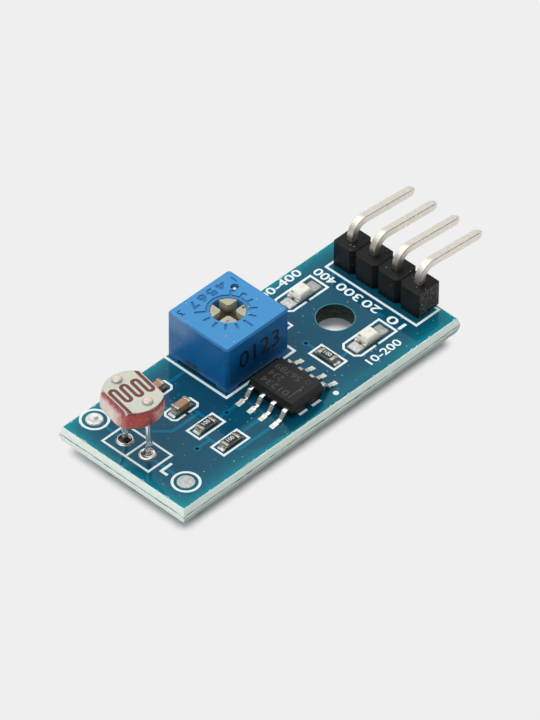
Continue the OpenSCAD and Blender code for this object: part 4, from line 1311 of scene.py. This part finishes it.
        # The last number is each side's share of painted shade on its lower bevel.
        for axis, sign, dull in ((0, -1, 0.0), (0, 1, 0.4), (1, -1, 0.85), (1, 1, 0.4)):
            other = 1 - axis
            length = BOARD_HIGH[other] - BOARD_LOW[other]
            t = np.linspace(0, 1, int(length / self.fibre_pitch))[:, None]
            chips = noise(stack_places(t[:, 0] * length, 5.0 * axis + sign, 0.0), (0.3, 1.0, 1.0), 15)
            rim = inset + np.zeros_like(t)
            rim[:, 0] += self.chip_depth * smooth(chips, 0.3, 0.95)
            at_end = smooth(np.minimum(t, 1 - t) * length, self.corner_fade, 0.0)
            along = BOARD_LOW[other] + inset + t * (length - 2 * inset)
            along = along + np.where(t < 0.5, -1, 1) * at_end * corner
            flat = stack_places(along, 7.0 * axis + 3.0 * sign, height)
            layers = noise(flat, (1.7, 1.0, 0.11), 11)
            threads = noise(flat, (0.5, 1.0, 0.05), 12)
            fuzz = noise(flat, (0.09, 1.0, 0.09), 13)
            line = TORN_Z + 0.05 * noise(flat, (2.5, 1.0, 50.0), 14)
            notch = np.exp(-((height - line) / 0.05) ** 2)
            push = 0.012 + 0.02 * np.abs(layers) + 0.018 * np.abs(threads) + 0.01 * fuzz
            push = np.maximum(push * (1 - 0.8 * notch), thinnest)
            push = push * (1 - at_end) + corner * at_end
            points = np.empty((*along.shape, 3))
            points[..., other] = along
            points[..., axis] = (BOARD_HIGH if sign > 0 else BOARD_LOW)[axis] - sign * (rim - push)
            points[..., 2] = height + proud * np.sign(height - TOP / 2)
            sides.append(closed_run(points))
            low.append((dull * smooth(height, 0.75, 0.35) + 0 * t).ravel())
        make_piece("edge_fibres", sides, EDGE, sharp=ALL_SMOOTH,
                   attributes={"low": np.concatenate(low)})

    @staticmethod
    def corner_push(height: Array) -> Array:
        """How far the corners stand out: a bell about mid height on a thin skin, in millimetres."""
        return 0.015 + 0.06 * np.exp(-((height - TOP / 2) / 0.4) ** 2)

    def make_hole_wall(self) -> None:
        """Lining of the mounting hole: its radius shrinks by a thin skin and two random fields."""
        skin, tear, calm = 0.006, 0.035, 0.15
        t = full_turn(180)
        z = np.linspace(0, TOP, 22)[:, None]
        flat = round_places((0.0, 0.0), self.hole_r, t, z)
        torn = np.abs(noise(flat, (0.25, 0.25, 0.9), 21)) + 0.6 * np.abs(noise(flat, 0.1, 22))
        radius = self.hole_r - skin - tear * torn * smooth(np.minimum(z, TOP - z), 0, calm)
        wall = round_places(on_board(self.hole), radius, t, z)
        make_piece("hole_wall", [grid_surface(wall[:, ::-1], wrap_columns=True)], HOLE_WALL,
                   sharp=ALL_SMOOTH)

    def make_pads(self) -> None:
        """Bare borders of laminate round the pads."""
        turns = ((-1, -1), (1, -1), (1, 1), (-1, 1))
        pads = (((1.35, 0.55), ((8.15, 5.55), (8.15, 2.8), (8.18, 8.38), (8.18, 11.35))),
                ((0.55, 1.3), ((20.97, 4.25), (20.97, 10.38))),
                ((2.1, 0.72), ((24.85, 3.45), (24.85, 11.1))))
        rims = [plate(on_board(np.add(centre, np.multiply(half, turns))), PRINT_LOW, TOP + 0.004)
                for half, centres in pads for centre in centres]
        make_piece("pad_borders", rims, BARE_RIM)


# Photoresistor


@dataclass
class Photoresistor:
    """Ceramic disc with its films, its dipped resin, two leads and their joints."""

    centre: tuple[float, float] = (-22.63, 0.77)
    turn: float = -10.0  # Turn of the flats about the axis, in degrees
    radius: float = 2.52
    half_flats: float = 1.86  # Distance of a flat from the axis
    top: float = 7.65
    bottom: float = 5.72  # Lowest height of the resin
    joint_r: float = 0.78

    def build(self) -> None:
        """Makes every piece of the photoresistor."""
        self.make_coating()
        self.make_films()
        self.make_heads()
        for i in (1, 2):
            soften(f"photoresistor_lead_{i}", 0.0, WIRE)
        self.make_joints()

    def outline(self, angle: Array) -> Array:
        """Distance from the axis to the side of the disc.

        The circle and the two flats are joined as 1 over the 40th root of the sum of the 40th
        powers of their inverse distances, which rounds the corners between them a little.

        Args:
            angle: Angles about the axis of the disc.

        Returns:
            The distances.
        """
        power = 40
        flats = np.abs(np.cos(angle)) / self.half_flats
        return (flats ** power + (1 / self.radius) ** power) ** (-1 / power)

    def make_coating(self) -> None:
        """Dipped resin: a profile of growth and height carried round the disc.

        The growth is how far the resin stands out from the disc; the side by the pin row has
        less of it, and it sags on the far left. Random fields add lumps and the lobes of the lower
        border. Two attributes say where the resin is thin and where it is dark: in a band under the
        rim, which is painted shadow, in a streak and low in front.
        """
        profile = curve_through([(-0.02, 0.03), (0.0, 0.12), (0.02, 0.35), (0.1, 0.6), (0.15, 0.95),
                                 (0.15, 1.3), (0.08, 1.62), (-0.08, 1.84), (-0.45, 1.92)], 48)
        angle = full_turn(240)
        degrees = np.degrees(angle)
        growth, fall = profile[:, :1], profile[:, 1:]
        depth = fall / (self.top - self.bottom)
        spot = round_places((0.0, 0.0), 2.5, angle, -fall)
        lumps = 0.035 * noise(spot, 0.9, 31) + 0.012 * noise(spot, 0.4, 32)
        left = within(degrees, 118, 205, 16)
        lobes = 0.16 * np.maximum(noise(spot, (0.9, 0.9, 60.0), 34), 0) * (1 - left)
        growth = growth + 0.2 * left * smooth(depth, 0.55, 1.0)
        slim = 1 - 0.8 * beside(degrees, 350, 40)
        radius = self.outline(angle - math.radians(self.turn)) + growth * np.where(growth > 0, slim, 1)
        radius = radius + lumps * smooth(depth, 0.0, 0.25)
        z = np.maximum(self.top - fall + (0.04 + lobes) * smooth(depth, 0.7, 1.0), self.bottom)
        z = z - 0.32 * left * smooth(depth, 0.35, 1.0)
        points = round_places(self.centre, radius, angle, z)
        middle = np.array([*self.centre, 0])
        inward = [(points[-1:] - middle) * k + middle + [0, 0, (1 - k) * self.bottom]
                  for k in (0.75, 0.4, 0.0)]
        blotch = noise(spot, (0.5, 0.5, 0.7), 35)
        streaks = noise(spot, (0.2, 0.2, 1.6), 36)
        front = within(degrees, 205, 262)
        thin = 1.1 * within(degrees, 120, 196, 16) * smooth(depth, 0.16, 0.5) * (0.9 + 0.3 * blotch)
        thin += 0.1 * front * (0.5 + 0.8 * blotch) * smooth(depth, 0.2, 0.4)
        thin += 0.62 * within(degrees, 268, 340, 8) * smooth(depth, 0.15, 0.35) * (0.75 + 0.5 * streaks)
        # Painted shadow: a dark band just under the rim.
        band = np.exp(-((depth - 0.08) / 0.08) ** 2) * (0.45 + 0.55 * within(degrees, 175, 235))
        low = smooth(depth, 0.72, 0.95) * front * (0.6 + 0.5 * blotch)
        dark = band + 0.75 * beside(degrees, 257, 5) * smooth(depth, 0.15, 0.4) + 0.7 * low
        dark += 0.35 * np.maximum(streaks, 0) * front
        values = {key: np.concatenate([np.clip(rows, 0, 1), np.repeat(rows[-1:] * 0, 3, axis=0)])
                  for key, rows in (("thin", thin * (1 - np.clip(dark, 0, 1))), ("dark", dark))}
        skin = grid_surface(np.concatenate([points, *inward]), wrap_columns=True)
        make_piece("photoresistor_resin", [skin], RED_RESIN, nodes=["photoresistor_coating"],
                   sharp=ALL_SMOOTH, attributes=values)

    def make_heads(self) -> None:
        """Cement over the ends of the two wires: a low dome with a flat top."""
        profile = np.array([(0.0, 0.02), (0.46, 0.01), (0.455, 0.1), (0.41, 0.19), (0.3, 0.245),
                            (0.15, 0.26), (0.0, 0.262)]) + [0, self.top]
        domes = [revolve(profile, head, 40) for head in HEADS_AT]
        make_piece("photoresistor_heads", domes, CEMENT, sharp=60.0)

    def make_films(self) -> None:
        """Electrode and cell film, from the nodes themselves, shaded smooth."""
        for film, finish in (("electrode", ELECTRODE), ("cell", CELL_FILM)):
            soften(f"photoresistor_{film}_film", 0.0, finish)

    def make_joints(self) -> None:
        """Solder of the two leads, with a wick up the wire: one full, one a dish with a bead round it.

        The top is a height over the pad, a function of the distance from the axis. The random
        field adds lumps, and the far joint has a blow hole, a pit with a bell-shaped profile.
        """
        outer = self.joint_r
        angle = full_turn(96)
        radius = outer * np.linspace(0, 1, 44)[:, None] + 0 * angle
        ring = np.exp(-((radius - 0.62) / 0.1) ** 2)
        wick = 0.55 * smooth(radius, 0.48, 0.2) ** 2
        rim = np.sqrt(np.maximum(1 - (radius / outer) ** 8, 0))
        below = curve_through([(outer, 0.0), (0.6, -0.18), (0.42, -0.5), (0.33, -0.88), (0.0, -0.95)], 16)
        surfaces, burnt = [], []
        for number, (pad, fill, height, ripple) in enumerate(
                ((NEAR_PAD, 0.2, 0.05, 0.005), (FAR_PAD, 0.05, 0.15, 0.012))):
            spot = round_places(pad, radius, angle, 0.0)
            bead = height * ring * (1 + 0.3 * noise(spot, 0.8, 44 + number))
            z = TOP + (fill + bead + wick) * rim + ripple * rim * noise(spot, 0.5, 41 + number)
            side = 0.9 * beside(np.degrees(angle), 150, 55)
            if pad == FAR_PAD:
                hole = np.hypot(spot[..., 0] - pad[0] - 0.2, spot[..., 1] - pad[1] + 0.36)
                z = z - 0.25 * np.exp(-(hole / 0.12) ** 2)
                side = np.full_like(angle, 0.95)
            spot[..., 2] = np.maximum(z, TOP - 0.005)
            under = revolve(np.vstack([(0.0, 0.0), below]), pad)
            surfaces += [grid_surface(spot, wrap_columns=True), under]
            dish = smooth(radius, 0.6, 0.5) * smooth(radius, 0.1, 0.2) * side
            shade = np.clip(dish * (0.9 + 0.5 * noise(spot, 0.3, 47)), 0, 1)
            burnt += [shade.ravel(), np.zeros(len(under[0]))]
        make_piece("photoresistor_joints", surfaces, JOINT_SOLDER, nodes=["photoresistor_solder"],
                   sharp=ALL_SMOOTH, attributes={"burnt": np.concatenate(burnt)})


# Trimmer


@dataclass
class Trimmer:
    """Blue trimmer with an open rotor, plain engraved digits and a plain printed number."""

    low: Array = field(default_factory=lambda: corners("trimmer_housing")[0])
    high: Array = field(default_factory=lambda: corners("trimmer_housing")[1])
    digit_cut: float = 0.06  # Depth of the digits
    scale_cut: float = 0.085  # Depth of the scale
    clear: float = 0.2  # How far the cutting tools stand above the top
    digit_gap: float = 0.34
    corner_r: float = 0.34  # Radius of the upright corners
    edge_r: float = 0.22  # Radius of the top edge
    spare: float = 0.003  # How far the rounded block stands outside the housing
    border: float = 0.16  # Width of the border of the top that holds no engraving
    scale_r: float = 1.745  # Radius of the arc of the scale
    scale_w: float = 0.25  # Width of its lines
    tick_ends: tuple[float, float] = (0.59, 0.97)  # From the arc to the end of a short and a long tick
    tick_angles: tuple[float, float] = (-218.5, 25.7)  # First tick, and the step, in degrees
    tick_foot: float = 0.3  # Length of the feet of the last two ticks
    eye: tuple[float, float] = (2.4, 1.6)  # Small hole, seen from the axis of the rotor

    def build(self) -> None:
        """Makes every piece of the trimmer."""
        self.make_housing()
        self.make_print()
        self.make_eye()
        soften("trimmer_rotor", 0.05, ROTOR, body=Body.ROTOR, segments=3)
        for i in (1, 2, 3):
            soften(f"trimmer_pin_{i}", 0.0, WIRE)
        soften("trimmer_seal", 0.0, RUBBER)

    def make_housing(self) -> None:
        """Copy of the housing with digits cut into its top.

        Two attributes say what is engraved, where the finish paints shade into the grooves, and what lies
        level, which the finish paints lighter as painted light from above.
        """
        piece = merged_copy("trimmer_housing", "trimmer_shell")
        top = self.high[2]
        levels = (top - self.digit_cut, top + self.clear)
        words = (("4567", (-1.8, 2.08), (1.92, 2.8), 0.24), ("3", (-3.2, 2.18), (-2.76, 2.74), 0.14),
                 ("1", (2.85, 1.95), (3.1, 2.6), 0.15))
        bands = self.scale_bands((top - self.scale_cut, top + self.clear))
        for digits, low, high, width in words:
            bands += self.strokes(digits, np.add(TRIMMER_AT, low), np.add(TRIMMER_AT, high), levels, width)
        tools = [self.use_tool(piece, [self.rounded_block()], "INTERSECT"),
                 self.use_tool(piece, bands, "DIFFERENCE")]
        settle(piece, CAD_SHARP)
        for tool in tools:
            bpy.data.objects.remove(tool)
        places = places_of(piece.data) / MM
        half = (self.high - self.low)[:2] / 2 - self.border
        inside = (np.abs(places[:, :2] - TRIMMER_AT) < half).all(axis=1)
        level, shallowest, deepest = 0.01, 0.03, 0.3
        engraved = inside & (places[:, 2] < top - shallowest) & (places[:, 2] > top - deepest)
        # Painted shade in the engraved grooves, and painted light on the level top.
        set_attribute(piece.data, "groove", engraved)
        set_attribute(piece.data, "painted_top_light", places[:, 2] > top - level)
        place_piece(piece, BLUE, Body.MODULE, ["trimmer_housing"])

    @staticmethod
    def use_tool(piece: bpy.types.Object, surfaces: list[Surface], operation: str) -> bpy.types.Object:
        """Adds a boolean with a closed tool to a piece.

        Args:
            piece: The piece.
            surfaces: Surfaces of the tool, in millimetres.
            operation: "INTERSECT" or "DIFFERENCE".

        Returns:
            The tool, which is removed once the boolean is applied.
        """
        tool = add_object("tool", joined_mesh("tool", surfaces))
        cut = piece.modifiers.new(operation, "BOOLEAN")
        cut.operation = operation
        cut.solver = "EXACT"
        cut.use_self = True
        cut.object = tool
        return tool

    def rounded_block(self) -> Surface:
        """Block just larger than the housing, with its upright corners and its top edge rounded.

        Its outline at each height is a rectangle with arcs for corners. Round the top edge it moves
        in by the edge radius times (1 - cos t) while it rises by that radius times sin t. The row
        with a negative t is its foot.

        Returns:
            Vertices and faces.
        """
        centre = (self.low + self.high)[:2] / 2
        rows = []
        for turn in np.radians([-90, *np.linspace(0, 90, 7)]):
            inset = self.edge_r * (1 - math.cos(turn)) if turn > 0 else 0.0
            z = self.high[2] + self.spare - self.edge_r * (1 - math.sin(turn))
            z = z if turn >= 0 else self.low[2] - 0.5
            half = (self.high - self.low)[:2] / 2 + self.spare - inset
            radius = self.corner_r - inset
            outline = np.concatenate([
                arc(centre + (half - radius) * (x, y), radius, start, start + 90, 9)
                for x, y, start in ((1, 1, 0), (-1, 1, 90), (-1, -1, 180), (1, -1, 270))])
            rows.append(np.column_stack([outline, np.full(len(outline), z)]))
        return closed_run(np.stack(rows))

    def scale_bands(self, levels: tuple[float, float]) -> list[Surface]:
        """Bands over the cut scale, which widen it: eleven ticks, the feet of the last two and the arc.

        Args:
            levels: Heights of the underside and of the top of the bands.

        Returns:
            One surface for each tick, and one for the arc.
        """
        surfaces = [ribbon(arc(TRIMMER_AT, self.scale_r, -46, 141.5, 40), self.scale_w, *levels)]
        first, step = self.tick_angles
        for i, turn in enumerate(np.radians(first + step * np.arange(11))):
            out = np.array([math.cos(turn), math.sin(turn)])
            end = TRIMMER_AT + (self.scale_r + self.tick_ends[i in (0, 5)]) * out
            route = [TRIMMER_AT + (self.scale_r + 0.02) * out, end]
            if i > 8:
                route.append(end + self.tick_foot * np.array([out[1], -out[0]]))
            surfaces.append(ribbon(np.array(route), self.scale_w, *levels))
        return surfaces

    def strokes(self, digits: str, low: Array, high: Array, levels: tuple[float, float],
                width: float) -> list[Surface]:
        """Bands for plain digits that fill a rectangle and are read from the far side.

        Args:
            digits: The digits.
            low: Low corner of the rectangle.
            high: High corner of the rectangle.
            levels: Heights of the underside and of the top of the bands.
            width: Width of the strokes.

        Returns:
            One surface for each stroke.
        """
        pitch = (high[0] - low[0] + self.digit_gap) / len(digits)
        size = np.array([pitch - self.digit_gap, high[1] - low[1]])
        return [ribbon(high - [i * pitch, 0] - np.array(route) * size, width, *levels)
                for i, digit in enumerate(digits) for route in DIGIT_STROKES[digit]]

    def make_print(self) -> None:
        """Dark number on the side that faces the comparator, standing upright on that wall."""
        points, faces = lettering("0123", (-11.45, 3.3), (-6.85, 5.05), (0.0, 0.012), 0.005)
        upright = np.column_stack([points[:, 0], self.low[1] - points[:, 2] + 0.002, points[:, 1]])
        make_piece("trimmer_number", [(upright, faces)], DARK_PRINT)

    def make_eye(self) -> None:
        """Round end of the metal in the small hole of the top."""
        top = self.high[2]
        profile = np.array([(0.0, top - 0.6), (0.2, top - 0.6), (0.2, top - 0.24), (0.15, top - 0.17),
                            (0.0, top - 0.14)])
        make_piece("trimmer_eye", [revolve(profile, np.add(TRIMMER_AT, self.eye), 24)], WIRE)


# Comparator


@dataclass
class Comparator:
    """Comparator: moulded package with a dimple, faint digits and a scuff, and eight bent leads."""

    low: Array = field(default_factory=lambda: corners("comparator_package")[0])
    high: Array = field(default_factory=lambda: corners("comparator_package")[1])

    def build(self) -> None:
        """Makes every piece of the comparator."""
        soften("comparator_package", 0.035, MOULDING, segments=2, sharp=12.0)
        self.make_marking()
        for i in range(1, 9):
            soften(f"comparator_lead_{i}", 0.025, LEAD)
        remelt("comparator_solder", 0.03, 0.012, 0.15, 51, MATT_SOLDER)

    def make_marking(self) -> None:
        """Laser-marked numbers, the ring of the dimple, and a long scuff along one edge."""
        top = self.high[2]
        rows = (("56789", (-8.95, -4.35), (-8.3, -1.7)), ("234", (-9.9, -3.3), (-9.25, -1.85)),
                ("01234", (-10.85, -4.8), (-10.2, -1.9)))
        levels = (top - 0.005, top + 0.003)
        marks = [lettering(text, low, high, levels, -0.004, 1) for text, low, high in rows]
        marks.append(ribbon(circle((-8.34, -4.97), 0.23, 24), 0.035, *levels, closed=True))
        make_piece("comparator_marking", marks, LASER_MARK)
        scuff = ribbon(np.array([(-10.8, -5.13), (-8.95, -5.11)]), 0.06, levels[0], top + 0.002)
        make_piece("comparator_scuff", [scuff], SCUFF)


# Pin row


@dataclass
class PinRow:
    """Row of four bent pins in a snapped insulator."""

    low: Array = field(default_factory=lambda: corners("header_insulator")[0])
    high: Array = field(default_factory=lambda: corners("header_insulator")[1])
    edge_r: float = 0.09  # Radius of the edges of the pins
    corner_line_w: tuple[float, float] = (0.035, 0.06)  # Up to where the dark line is whole, and where it ends

    def build(self) -> None:
        """Makes every piece of the row."""
        soften("header_insulator", 0.04, INSULATOR)
        for i in range(1, 5):
            pin = soften(f"header_pin_{i}", self.edge_r, PIN, segments=3)
            self.mark_corner_line(pin, corners(f"header_pin_{i}")[0][1])
        self.make_torn_face()

    def mark_corner_line(self, pin: bpy.types.Object, side: float) -> None:
        """Marks the outer corner of a pin on its -Y side as an attribute, which the finish paints as a dark
        line.

        Two cuts beside the corner give the mark vertices of its own: it is whole up to the first
        and gone at the second, however long the faces are.

        Args:
            pin: The pin.
            side: Place of its -Y side along Y.
        """
        work = bmesh.new()
        work.from_mesh(pin.data)
        for width in self.corner_line_w:
            bmesh.ops.bisect_plane(work, geom=[*work.verts, *work.edges, *work.faces], dist=1e-7,
                                   plane_co=(0, (side + width) * MM, 0), plane_no=(0, 1, 0))
        work.to_mesh(pin.data)
        work.free()
        settle(pin, SOFTENED_SHARP)
        normals = places_of(pin.data, "normal")
        depth = places_of(pin.data)[:, 1] / MM - side
        strip = (depth > 0.001) & (depth < sum(self.corner_line_w) / 2) & (normals[:, 2] - normals[:, 0] > 0)
        set_attribute(pin.data, "corner_line", strip)

    def make_torn_face(self) -> None:
        """Coarse face where the row was snapped off: a grid moved outwards by two random fields."""
        notch, spare = 0.14, 0.02
        x = np.linspace(self.low[0] + notch + spare, self.high[0] - notch - spare, 70)[:, None]
        z = np.linspace(self.low[2] + spare, self.high[2] - spare, 90)
        flat = stack_places(x, 0.0, z)
        edge = np.minimum(np.minimum(x - x[0], x[-1] - x), np.minimum(z - z[0], z[-1] - z))
        inside = smooth(edge, 0, 0.12)
        rough = 0.06 * np.abs(noise(flat, 0.3, 61)) + 0.06 * noise(flat, 0.11, 62) + 0.06
        y = self.low[1] + 0.01 - inside * np.maximum(rough, 0.01)
        make_piece("snapped_face", [closed_sheet(stack_places(x, y, z))], TORN_PLASTIC,
                   sharp=ALL_SMOOTH)


# Chip parts and lamps


@dataclass
class ChipParts:
    """Chip resistors with a black glaze and plain digits, and chip capacitors."""

    glaze: tuple[float, float] = (1.06, 0.74)  # Length and width
    digits_half: tuple[float, float] = (0.35, 0.2)  # Half length and half width of the number

    def build(self) -> None:
        """Makes every piece of the chip parts."""
        for i in range(1, 5):
            soften(f"resistor_{i}_body", 0.02, CHIP_CERAMIC)
            soften(f"resistor_{i}_ends", 0.04, END_METAL)
            self.make_glaze(i)
        for i in (1, 2):
            soften(f"capacitor_{i}_body", 0.04, CAPACITOR, segments=3)
            soften(f"capacitor_{i}_ends", 0.06, END_METAL, segments=3)

    def make_glaze(self, number: int) -> None:
        """Black glaze between the ends of a resistor, with digits along it.

        Args:
            number: Number of the resistor.
        """
        low, high = corners(f"resistor_{number}_body")
        centre = (low[:2] + high[:2]) / 2
        upright = high[1] - low[1] > high[0] - low[0]
        order = -1 if upright else 1
        half = np.array(self.glaze)[::order] / 2
        reach = np.array(self.digits_half)[::order]
        top = high[2] + 0.03
        pillow = cushion(centre - half, centre + half, 0.045, 70 + number, high[2] - 0.005, 0.02)
        make_piece(f"resistor_{number}_glaze", [pillow], GLAZE)
        turn = 3 if upright else 0
        digits = lettering("100", centre - reach, centre + reach, (top, top + 0.02), 0.004, turn)
        make_piece(f"resistor_{number}_digits", [digits], INK)


@dataclass
class Lamps:
    """Two indicator lamps: pale base, milky lens, green mark and solder at both ends."""

    lens_half: tuple[float, float] = (0.84, 0.65)

    def build(self) -> None:
        """Makes every piece of the lamps."""
        for name, place in (("signal", SIGNAL_AT), ("power", POWER_AT)):
            self.make_lens(name, place)
            soften(f"{name}_lamp_base", 0.02, LAMP_BASE)
            soften(f"{name}_lamp_terminals", 0.01, LAMP_END)
            self.make_pads(name, place)

    def make_lens(self, name: str, place: tuple[float, float]) -> None:
        """Moulded lens: a flat top that falls in a long slope at the ends and a steep one at the sides.

        The height is the rise times a step along X times a power of the step along Y.

        Args:
            name: Name of the lamp.
            place: Its centre.
        """
        low, high = corners(f"{name}_lamp_lens")
        sunk, rim_share = 0.01, 0.16
        u, v = sine_grid(48)
        x = place[0] + self.lens_half[0] * u
        y = place[1] + self.lens_half[1] * v
        ends = smooth(1 - np.abs(u), -0.12, 0.4)
        sides = (1 - np.abs(v) ** 7) ** 0.5
        body = rim_share * (1 - np.abs(u) ** 10) ** 0.5 + (1 - rim_share) * ends
        z = low[2] - sunk + (high[2] - low[2] + sunk) * body * sides
        make_piece(f"{name}_lamp_skin", [closed_sheet(stack_places(x, y, z))], LENS,
                   nodes=[f"{name}_lamp_lens"], sharp=ALL_SMOOTH)

    def make_pads(self, name: str, place: tuple[float, float]) -> None:
        """Wide pillows of rough solder beyond both ends of a lamp.

        Args:
            name: Name of the lamp.
            place: Its centre.
        """
        x, y = place
        pads = [cushion((x + a, y - 0.6), (x + b, y + 0.6), 0.13, seed, lumps=0.35)
                for a, b, seed in ((-1.92, -0.98, 91), (0.98, 1.92, 92))]
        make_piece(f"{name}_lamp_pads", pads, LAMP_PAD)


@dataclass
class Joints:
    """Solder that the other classes do not make."""

    pad_r: float = 0.76

    def build(self) -> None:
        """Makes the remaining solder."""
        remelt("chip_solder", 0.03, 0.015, 0.16, 81, CHIP_SOLDER)
        self.make_spare_pads()
        for node in ("trimmer_solder", "header_solder"):
            soften(node, 0.0, SOLDER)

    def make_spare_pads(self) -> None:
        """Two open pads filled with solder: one with a bright bead round a dish, one flat and dull."""
        bead = [(0.0, TOP + 0.1), (0.2, TOP + 0.1), (0.36, TOP + 0.12), (0.54, TOP + 0.15),
                (0.68, TOP + 0.12), (self.pad_r, TOP - 0.005)]
        flat = [(0.0, TOP + 0.09), (0.3, TOP + 0.09), (0.55, TOP + 0.08), (0.7, TOP + 0.05),
                (self.pad_r, TOP - 0.005)]
        under = [(self.pad_r, 0.005), (0.5, -0.1), (0.0, -0.12)]
        for name, centre, profile, finish, seed, nodes in (
                ("spare_pad_bright", (-22.45, 5.35), bead, PAD_SOLDER, 83, ["spare_pad_solder"]),
                ("spare_pad_dull", (-22.5, -5.05), flat, DULL_SOLDER, 84, [])):
            points, faces = revolve(np.vstack([curve_through(profile, 26), under]), centre, 72)
            lumps = noise(points, 0.25, seed) * smooth(points[:, 2], TOP, TOP + 0.06)
            points[:, 2] += 0.025 * lumps
            make_piece(name, [(points, faces)], finish, nodes=nodes, sharp=ALL_SMOOTH)


# Floor, light and camera


@dataclass
class Studio:
    """Plain pale floor, soft light from above and from the left, and the camera."""

    background: str = "#EFEFEF"  # Colour of floor and backdrop
    place: tuple[float, float, float] = (-400.551, -378.140, 501.006)
    aim: tuple[float, float, float] = (-6.241, 1.345, 0.0)  # Point that the camera looks at
    roll: float = -0.397  # Turn of the camera about its line of sight, in degrees
    focal_px: float = 9102.03  # Focal length in pixels of the photograph
    long_side_px: float = 720.0
    sensor: float = 36.0
    sky_middle: tuple[float, float, float] = (-0.2, 0.15, 0.97)  # Direction of the bright sky
    sky_level: float = 1.75
    sky_span: tuple[float, float] = (56.0, 34.0)  # Angles from it where it ends and where it is whole
    light_side: tuple[float, float, float] = (0.3, 0.8, 0.5)  # Direction of the room's light side
    room_span: tuple[float, float] = (-0.5, 0.7)  # Cosines of the angle to it between which it brightens
    room_levels: tuple[float, float] = (0.035, 0.56)  # Strength on the dim side and on the light side
    shadow_mm: float = 1.6  # Reach of the contact shadow
    open_span: tuple[float, float] = (0.67, 0.815)  # Openness between which the floor turns flat
    floor_half: float = 6.0  # Half a side of the floor, in metres

    def build(self) -> None:
        """Makes the floor, the world and the camera."""
        self.make_floor()
        self.make_world()
        self.make_camera()
        bpy.context.scene.view_settings.view_transform = "Standard"

    def make_floor(self) -> None:
        """Floor at the lowest point of the part.

        To the camera and in mirrors it glows in its flat colour where it is open, and is lit as
        any surface is where the part covers it, so that the contact shadow stays.
        """
        half = self.floor_half
        z = CAD_BOX[0].z
        mesh = bpy.data.meshes.new("floor")
        mesh.from_pydata([(-half, -half, z), (half, -half, z), (half, half, z), (-half, half, z)], [],
                         [(0, 1, 2, 3)])
        floor = add_object("floor", mesh)
        material = bpy.data.materials.new("studio_floor")
        material.use_nodes = True
        tree = material.node_tree
        tree.nodes.clear()
        colour = linear(self.background)
        matt = add_node(tree, "ShaderNodeBsdfDiffuse", {"Color": colour})
        flat = add_node(tree, "ShaderNodeEmission", {"Color": colour})
        path = add_node(tree, "ShaderNodeLightPath")
        covered = add_node(tree, "ShaderNodeAmbientOcclusion", {"Distance": self.shadow_mm * MM}, samples=16)
        limits = (*self.open_span, 0.0, 1.0)
        opened = add_node(tree, RANGE, [covered.outputs["AO"], *limits], interpolation_type=STEP)
        seen = add_node(tree, MATH, [path.outputs["Is Camera Ray"], path.outputs["Is Glossy Ray"]],
                        operation="ADD")
        share = add_node(tree, MATH, [seen, opened], operation="MULTIPLY")
        both = add_node(tree, "ShaderNodeMixShader", [share, matt, flat])
        add_node(tree, "ShaderNodeOutputMaterial", {"Surface": both})
        mesh.materials.append(material)

    def make_world(self) -> None:
        """World: flat colour to the camera, and a soft bright patch of sky in a dim room to the rest.

        The strength is a mix of the room's and the patch's. The share of the patch is a smooth
        step of the cosine of the angle to its middle. The room is a smooth step from its dim to
        its light side, so that metal has something dark to show.
        """
        world = bpy.data.worlds.new("studio")
        bpy.context.scene.world = world
        world.use_nodes = True
        tree = world.node_tree
        tree.nodes.clear()
        way = add_node(tree, "ShaderNodeTexCoord").outputs["Generated"]
        sky = [math.cos(math.radians(v)) for v in self.sky_span]
        levels = []
        for middle, limits in ((self.sky_middle, (*sky, 0.0, 1.0)),
                               (self.light_side, (*self.room_span, *self.room_levels))):
            towards = tuple(Vector(middle).normalized())
            facing = add_node(tree, VECTOR, [way, towards], operation="DOT_PRODUCT")
            level = add_node(tree, RANGE, [facing.outputs["Value"], *limits], interpolation_type=STEP)
            levels.append(level)
        strength = add_node(tree, MIX, {0: levels[0], 2: levels[1], 3: self.sky_level}, data_type="FLOAT")
        white = linear("#FFFFFF")
        light = add_node(tree, "ShaderNodeBackground", {"Color": white, "Strength": strength})
        backdrop = add_node(tree, "ShaderNodeBackground", {"Color": linear(self.background)})
        path = add_node(tree, "ShaderNodeLightPath")
        seen = add_node(tree, "ShaderNodeMixShader", [
            path.outputs["Is Camera Ray"], light, backdrop])
        add_node(tree, "ShaderNodeOutputWorld", {"Surface": seen})

    def make_camera(self) -> None:
        """Camera at the photograph's place, with the photograph's focal length."""
        camera = bpy.data.cameras.new("camera")
        camera.sensor_width = self.sensor
        camera.lens = self.focal_px / self.long_side_px * self.sensor
        camera.clip_start = 0.05
        camera.clip_end = 30.0
        holder = add_object("camera", camera)
        place = Vector(self.place) * MM
        ahead = (Vector(self.aim) * MM - place).normalized()
        turn = Quaternion(ahead, math.radians(self.roll)) @ ahead.to_track_quat("-Z", "Y")
        holder.matrix_world = Matrix.Translation(place) @ turn.to_matrix().to_4x4()
        bpy.context.scene.camera = holder


def dress_frame() -> None:
    """Gives every CAD node the finish of its material slot."""
    for name, node in frame["nodes"].items():
        finish = SLOT_FINISH[NODE_SLOT[name]]
        node.material_slots[0].material = finish.build()
        LOG.info("%s takes %s", name, finish.name)


def main() -> None:
    """Builds the module from the frame outwards, then the studio."""
    logging.basicConfig(level=logging.INFO, format="%(name)s %(message)s")
    dress_frame()
    for part in (Board(), Photoresistor(), Trimmer(), Comparator(), PinRow(), ChipParts(), Lamps(),
                 Joints(), Studio()):
        part.build()
        LOG.info("%s done", type(part).__name__)


if __name__ == "__main__":
    main()
